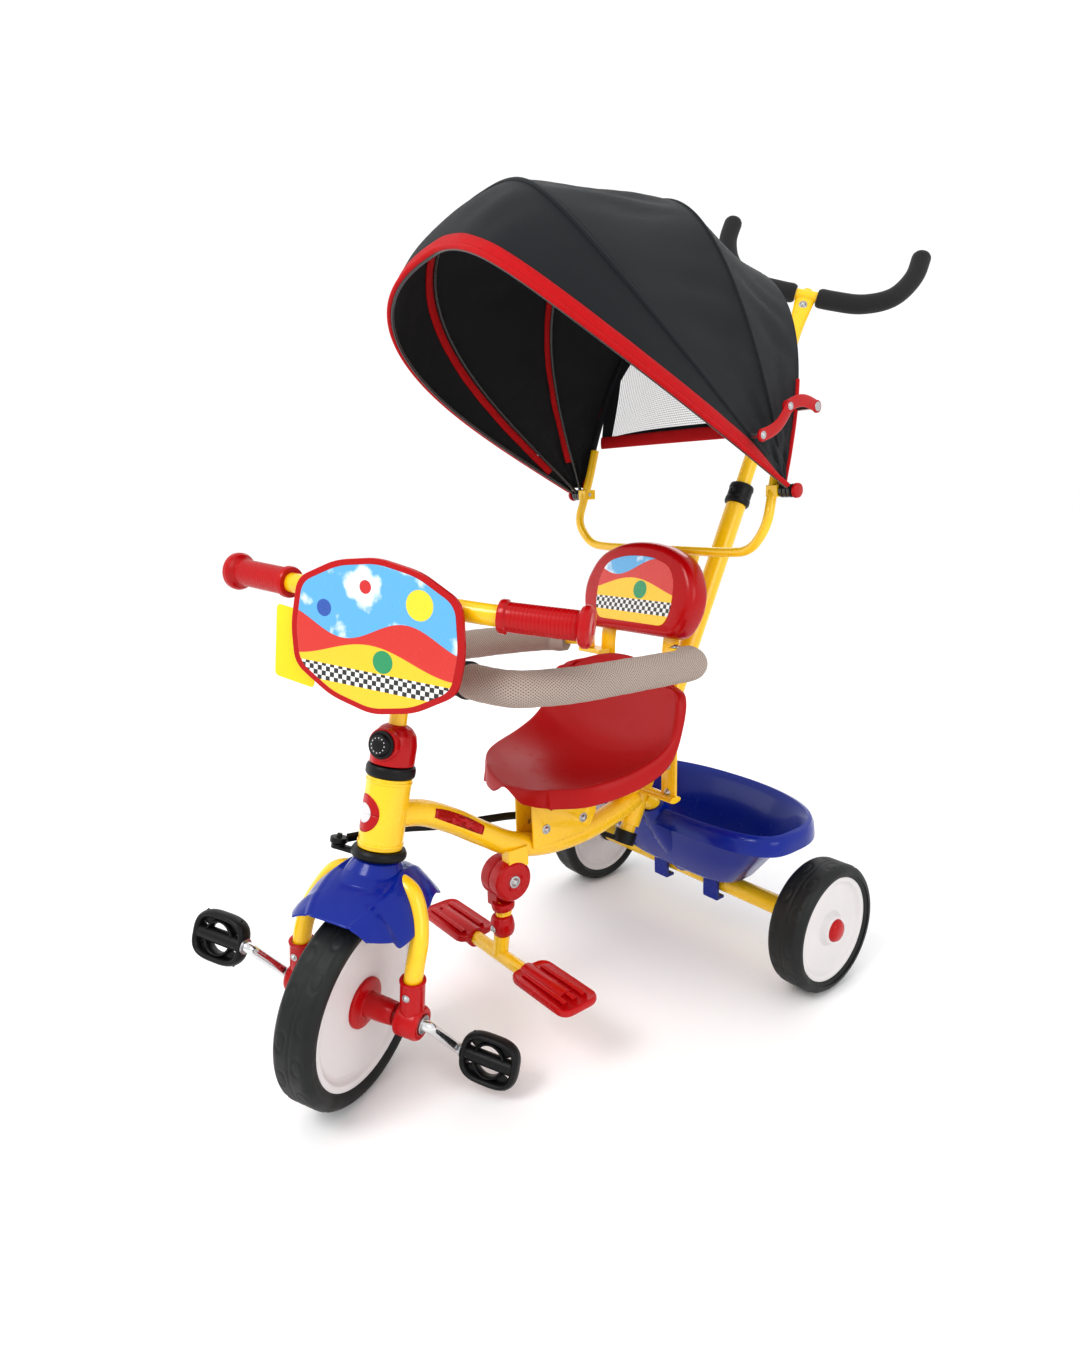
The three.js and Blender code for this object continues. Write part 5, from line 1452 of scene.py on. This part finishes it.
LINK_REACH = 98  # from the hood's pivot to each end of a folding link
LINK_ARM = 57  # length of each half of a link


def link_point(key):
    """Where the link joins this hoop."""
    a = math.radians(BOWS[key]["side"])
    return np.array([0, HOOD_Y - LINK_REACH * math.cos(a), HOOD_Z + LINK_REACH * math.sin(a)])


def link_pin(piece, key, inside, outside, side):
    """Pin that stands out from a hoop and carries the end of a hood link."""
    _, y, z = link_point(key)
    pin = [(0, inside), (3, inside), (3, outside - 1.6)]
    pin += [(5.4, outside - 1.4), (5.4, outside), (0, outside)]
    piece.add(spun(pin, 0.5, 24), ZINC, moved(0, y, z) @ turn(90 * side, "Y"))


for key in ("front", "second", "third"):
    hoop = Piece(f"hoop_{key}", HOOP_BODY[key], (f"canopy_bow_{key}",), ROOT, "bow_steel")
    hoop.add(sweep(resample(bow_line(BOWS[key]), 5), 2.3, 14, up=(0, 0, 1)), WIRE)
    for side in (1, -1):
        eye = rounded([(3.4, -2.2), (8, -2.2), (8, 2.2), (3.4, 2.2)], 0.5)
        hoop.add(lathe(closed(eye), 32, "X"), WIRE, moved(side * BOWS[key]["half"], HOOD_Y, HOOD_Z))
        if key == "second":
            link_pin(hoop, key, 186, 206, side)
    hoop.done()

bracket = Piece("canopy_bracket_skin", "frame", ("canopy_bracket",), ROOT, "yellow_paint")
left = [(166, 526, 722), (167, 514, 678), (172, 494, 616), (146, 497, 586), (110, 498.5, 583)]
line = bent(left + [(-x, y, z) for x, y, z in left[::-1]], 20)
bracket.add(sweep(resample(line, 4), 6, 28, up=(0, 1, 0)), YELLOW)
bracket.add(sweep(resample(bow_line(BOWS["rear"]), 5), 2.3, 14, up=(0, 0, 1)), WIRE)
for side in (1, -1):
    place = moved(0, HOOD_Y, HOOD_Z) @ turn(90 * side, "Y")
    bracket.add(block((16, 20, 14), (side * 170.5, HOOD_Y + 1, HOOD_Z)), YELLOW)
    bracket.add(lathe([(0, 162), (3, 162), (3, 202), (0, 202)], 20), ZINC, place)
    knob = [(0, 197.8), (8.4, 197.8), (9, 199), (8.4, 202.6), (0, 203)]
    bracket.add(spun(knob, 0.7, 40), RED, place)
    link_pin(bracket, "rear", 171, 205.6, side)
bracket.done(bevel=0.8)

link_rear, link_front = link_point("rear"), link_point("second")
chord = link_front - link_rear
rise = np.array([0, chord[2], -chord[1]]) / np.linalg.norm(chord)
knee = math.sqrt(LINK_ARM ** 2 - (np.linalg.norm(chord) / 2) ** 2)
link_middle = (link_rear + link_front) / 2 + rise * knee
halves = (("rear", link_rear, link_middle, 203.5), ("front", link_middle, link_front, 206.9))
for side, name in SIDES:
    for key, start, end, x in halves:
        run = end - start
        over = np.array([0, -run[2], run[1]]) / np.linalg.norm(run) * (1 if key == "front" else -1)
        node, place = (f"canopy_stay_{key}_{name}",), moved(side * x, 0, 0)
        link = Piece(f"hood_link_{key}_{name}", f"{name}_{key}_stay", node, place, "red_plastic")
        spine = [start + run * t + over * 6.5 * math.sin(math.pi * t) for t in np.linspace(0, 1, 17)]
        link.add(sweep(spine, (1.5, 7.0), 24, up=(1, 0, 0)), RED)
        for point in (start, end):
            boss = spun([(0, -1.5), (7.2, -1.5), (7.2, 1.5), (0, 1.5)], 0.6, 36, "X")
            link.add(boss, RED, moved(*point))
        if key == "front":
            for point in (start, end):
                bolt(link, moved(side * 1.2, *point[1:]) @ turn(90 * side, "Y"), 3.0, 1.4)
        link.done(angle=40)


def along_edge(surface, v, bare=0):
    """The line across the hood at one level, with some stations left off at each pivot."""
    return [surface(j / ACROSS, v) for j in range(bare, ACROSS - bare + 1)]


def rim_band(name, body, surface, v_from, width, rise, bare=0):
    """Band of binding of an even width laid on the cloth, narrowing only where the hoops meet."""
    piece = Piece(name, body, (), ROOT, "red_plastic")

    def at(u0, v):
        u = (bare + u0 * (ACROSS - 2 * bare)) / ACROSS
        gap = np.linalg.norm(np.subtract(surface(u, 1.0), surface(u, 0.0)))
        share = min(abs(width) / gap, 0.8) * math.copysign(1, width)
        p = np.array(surface(u, v_from + share * v))
        hub = np.array([p[0] * 0.55, HOOD_Y, HOOD_Z])
        out = (p - hub) / np.linalg.norm(p - hub)
        return tuple(p + out * rise)

    piece.add(sheet(at, ACROSS - 2 * bare, 3, (1.1, 0.016)), BINDING)
    piece.done(angle=0, thickness=abs(rise) * 1.2, offset=0.0)


TRIMMED = 8  # stations left off seams and tapes at each pivot, where the hoops fold together
rim_band("rim_binding", "front_bow", brim_surface, -0.01, 15, 0.9)
binding("rim_roll", "front_bow", along_edge(brim_surface, 0.0), 2.8, 2.8)
binding("seam_second", "second_bow", along_edge(brim_surface, 0.995, TRIMMED), 3.4, 2.8, CLOTH)
binding("seam_third", "third_bow", along_edge(crown_surface, 0.005, TRIMMED), 2.8, 2.4, CLOTH)
binding("seam_rear", "frame", bow_line(BOWS["rear"], start=0.03), 4.6, 4.6, CLOTH)
rim_band("inner_tape_second", "second_bow", brim_surface, 0.985, -11, -2.4, TRIMMED)
rim_band("inner_tape_third", "third_bow", top_surface, 0.995, -11, -3.0, TRIMMED)
for side, name in SIDES:
    corner = [crown_surface(0.5 - side * (0.5 - 0.16 * t), 0.985) for t in np.linspace(0, 1, 24)]
    binding(f"corner_binding_{name}", "frame", corner, 2.6, 3.6)
hem_line = [back_surface(u, 0.0) for u in np.linspace(0, 1, BACK_ACROSS + 1)]
binding("back_hem", "frame", hem_line, 1.8, 8.5, up=(0, 1, 0))
# PIECES-END

floor = bpy.data.objects.new("floor", bpy.data.meshes.new("floor"))
floor.data.from_pydata([(-40, -40, 0), (40, -40, 0), (40, 40, 0), (-40, 40, 0)], [], [(0, 1, 2, 3)])
bpy.context.scene.collection.objects.link(floor)
ground = Nodes("studio_floor")
ground.set(Base_Color=ground.mix(ground.noise(3, 2), (0.975, 0.975, 0.975), (0.985, 0.985, 0.985)))
ground.set(Roughness=0.7)
floor.data.materials.append(ground.material)
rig.stage(floor)

with open("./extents.json", "w") as out:
    ends = [[list(map(float, corner)) for corner in box] for box in (start_box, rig.bounds())]
    json.dump(ends, out)
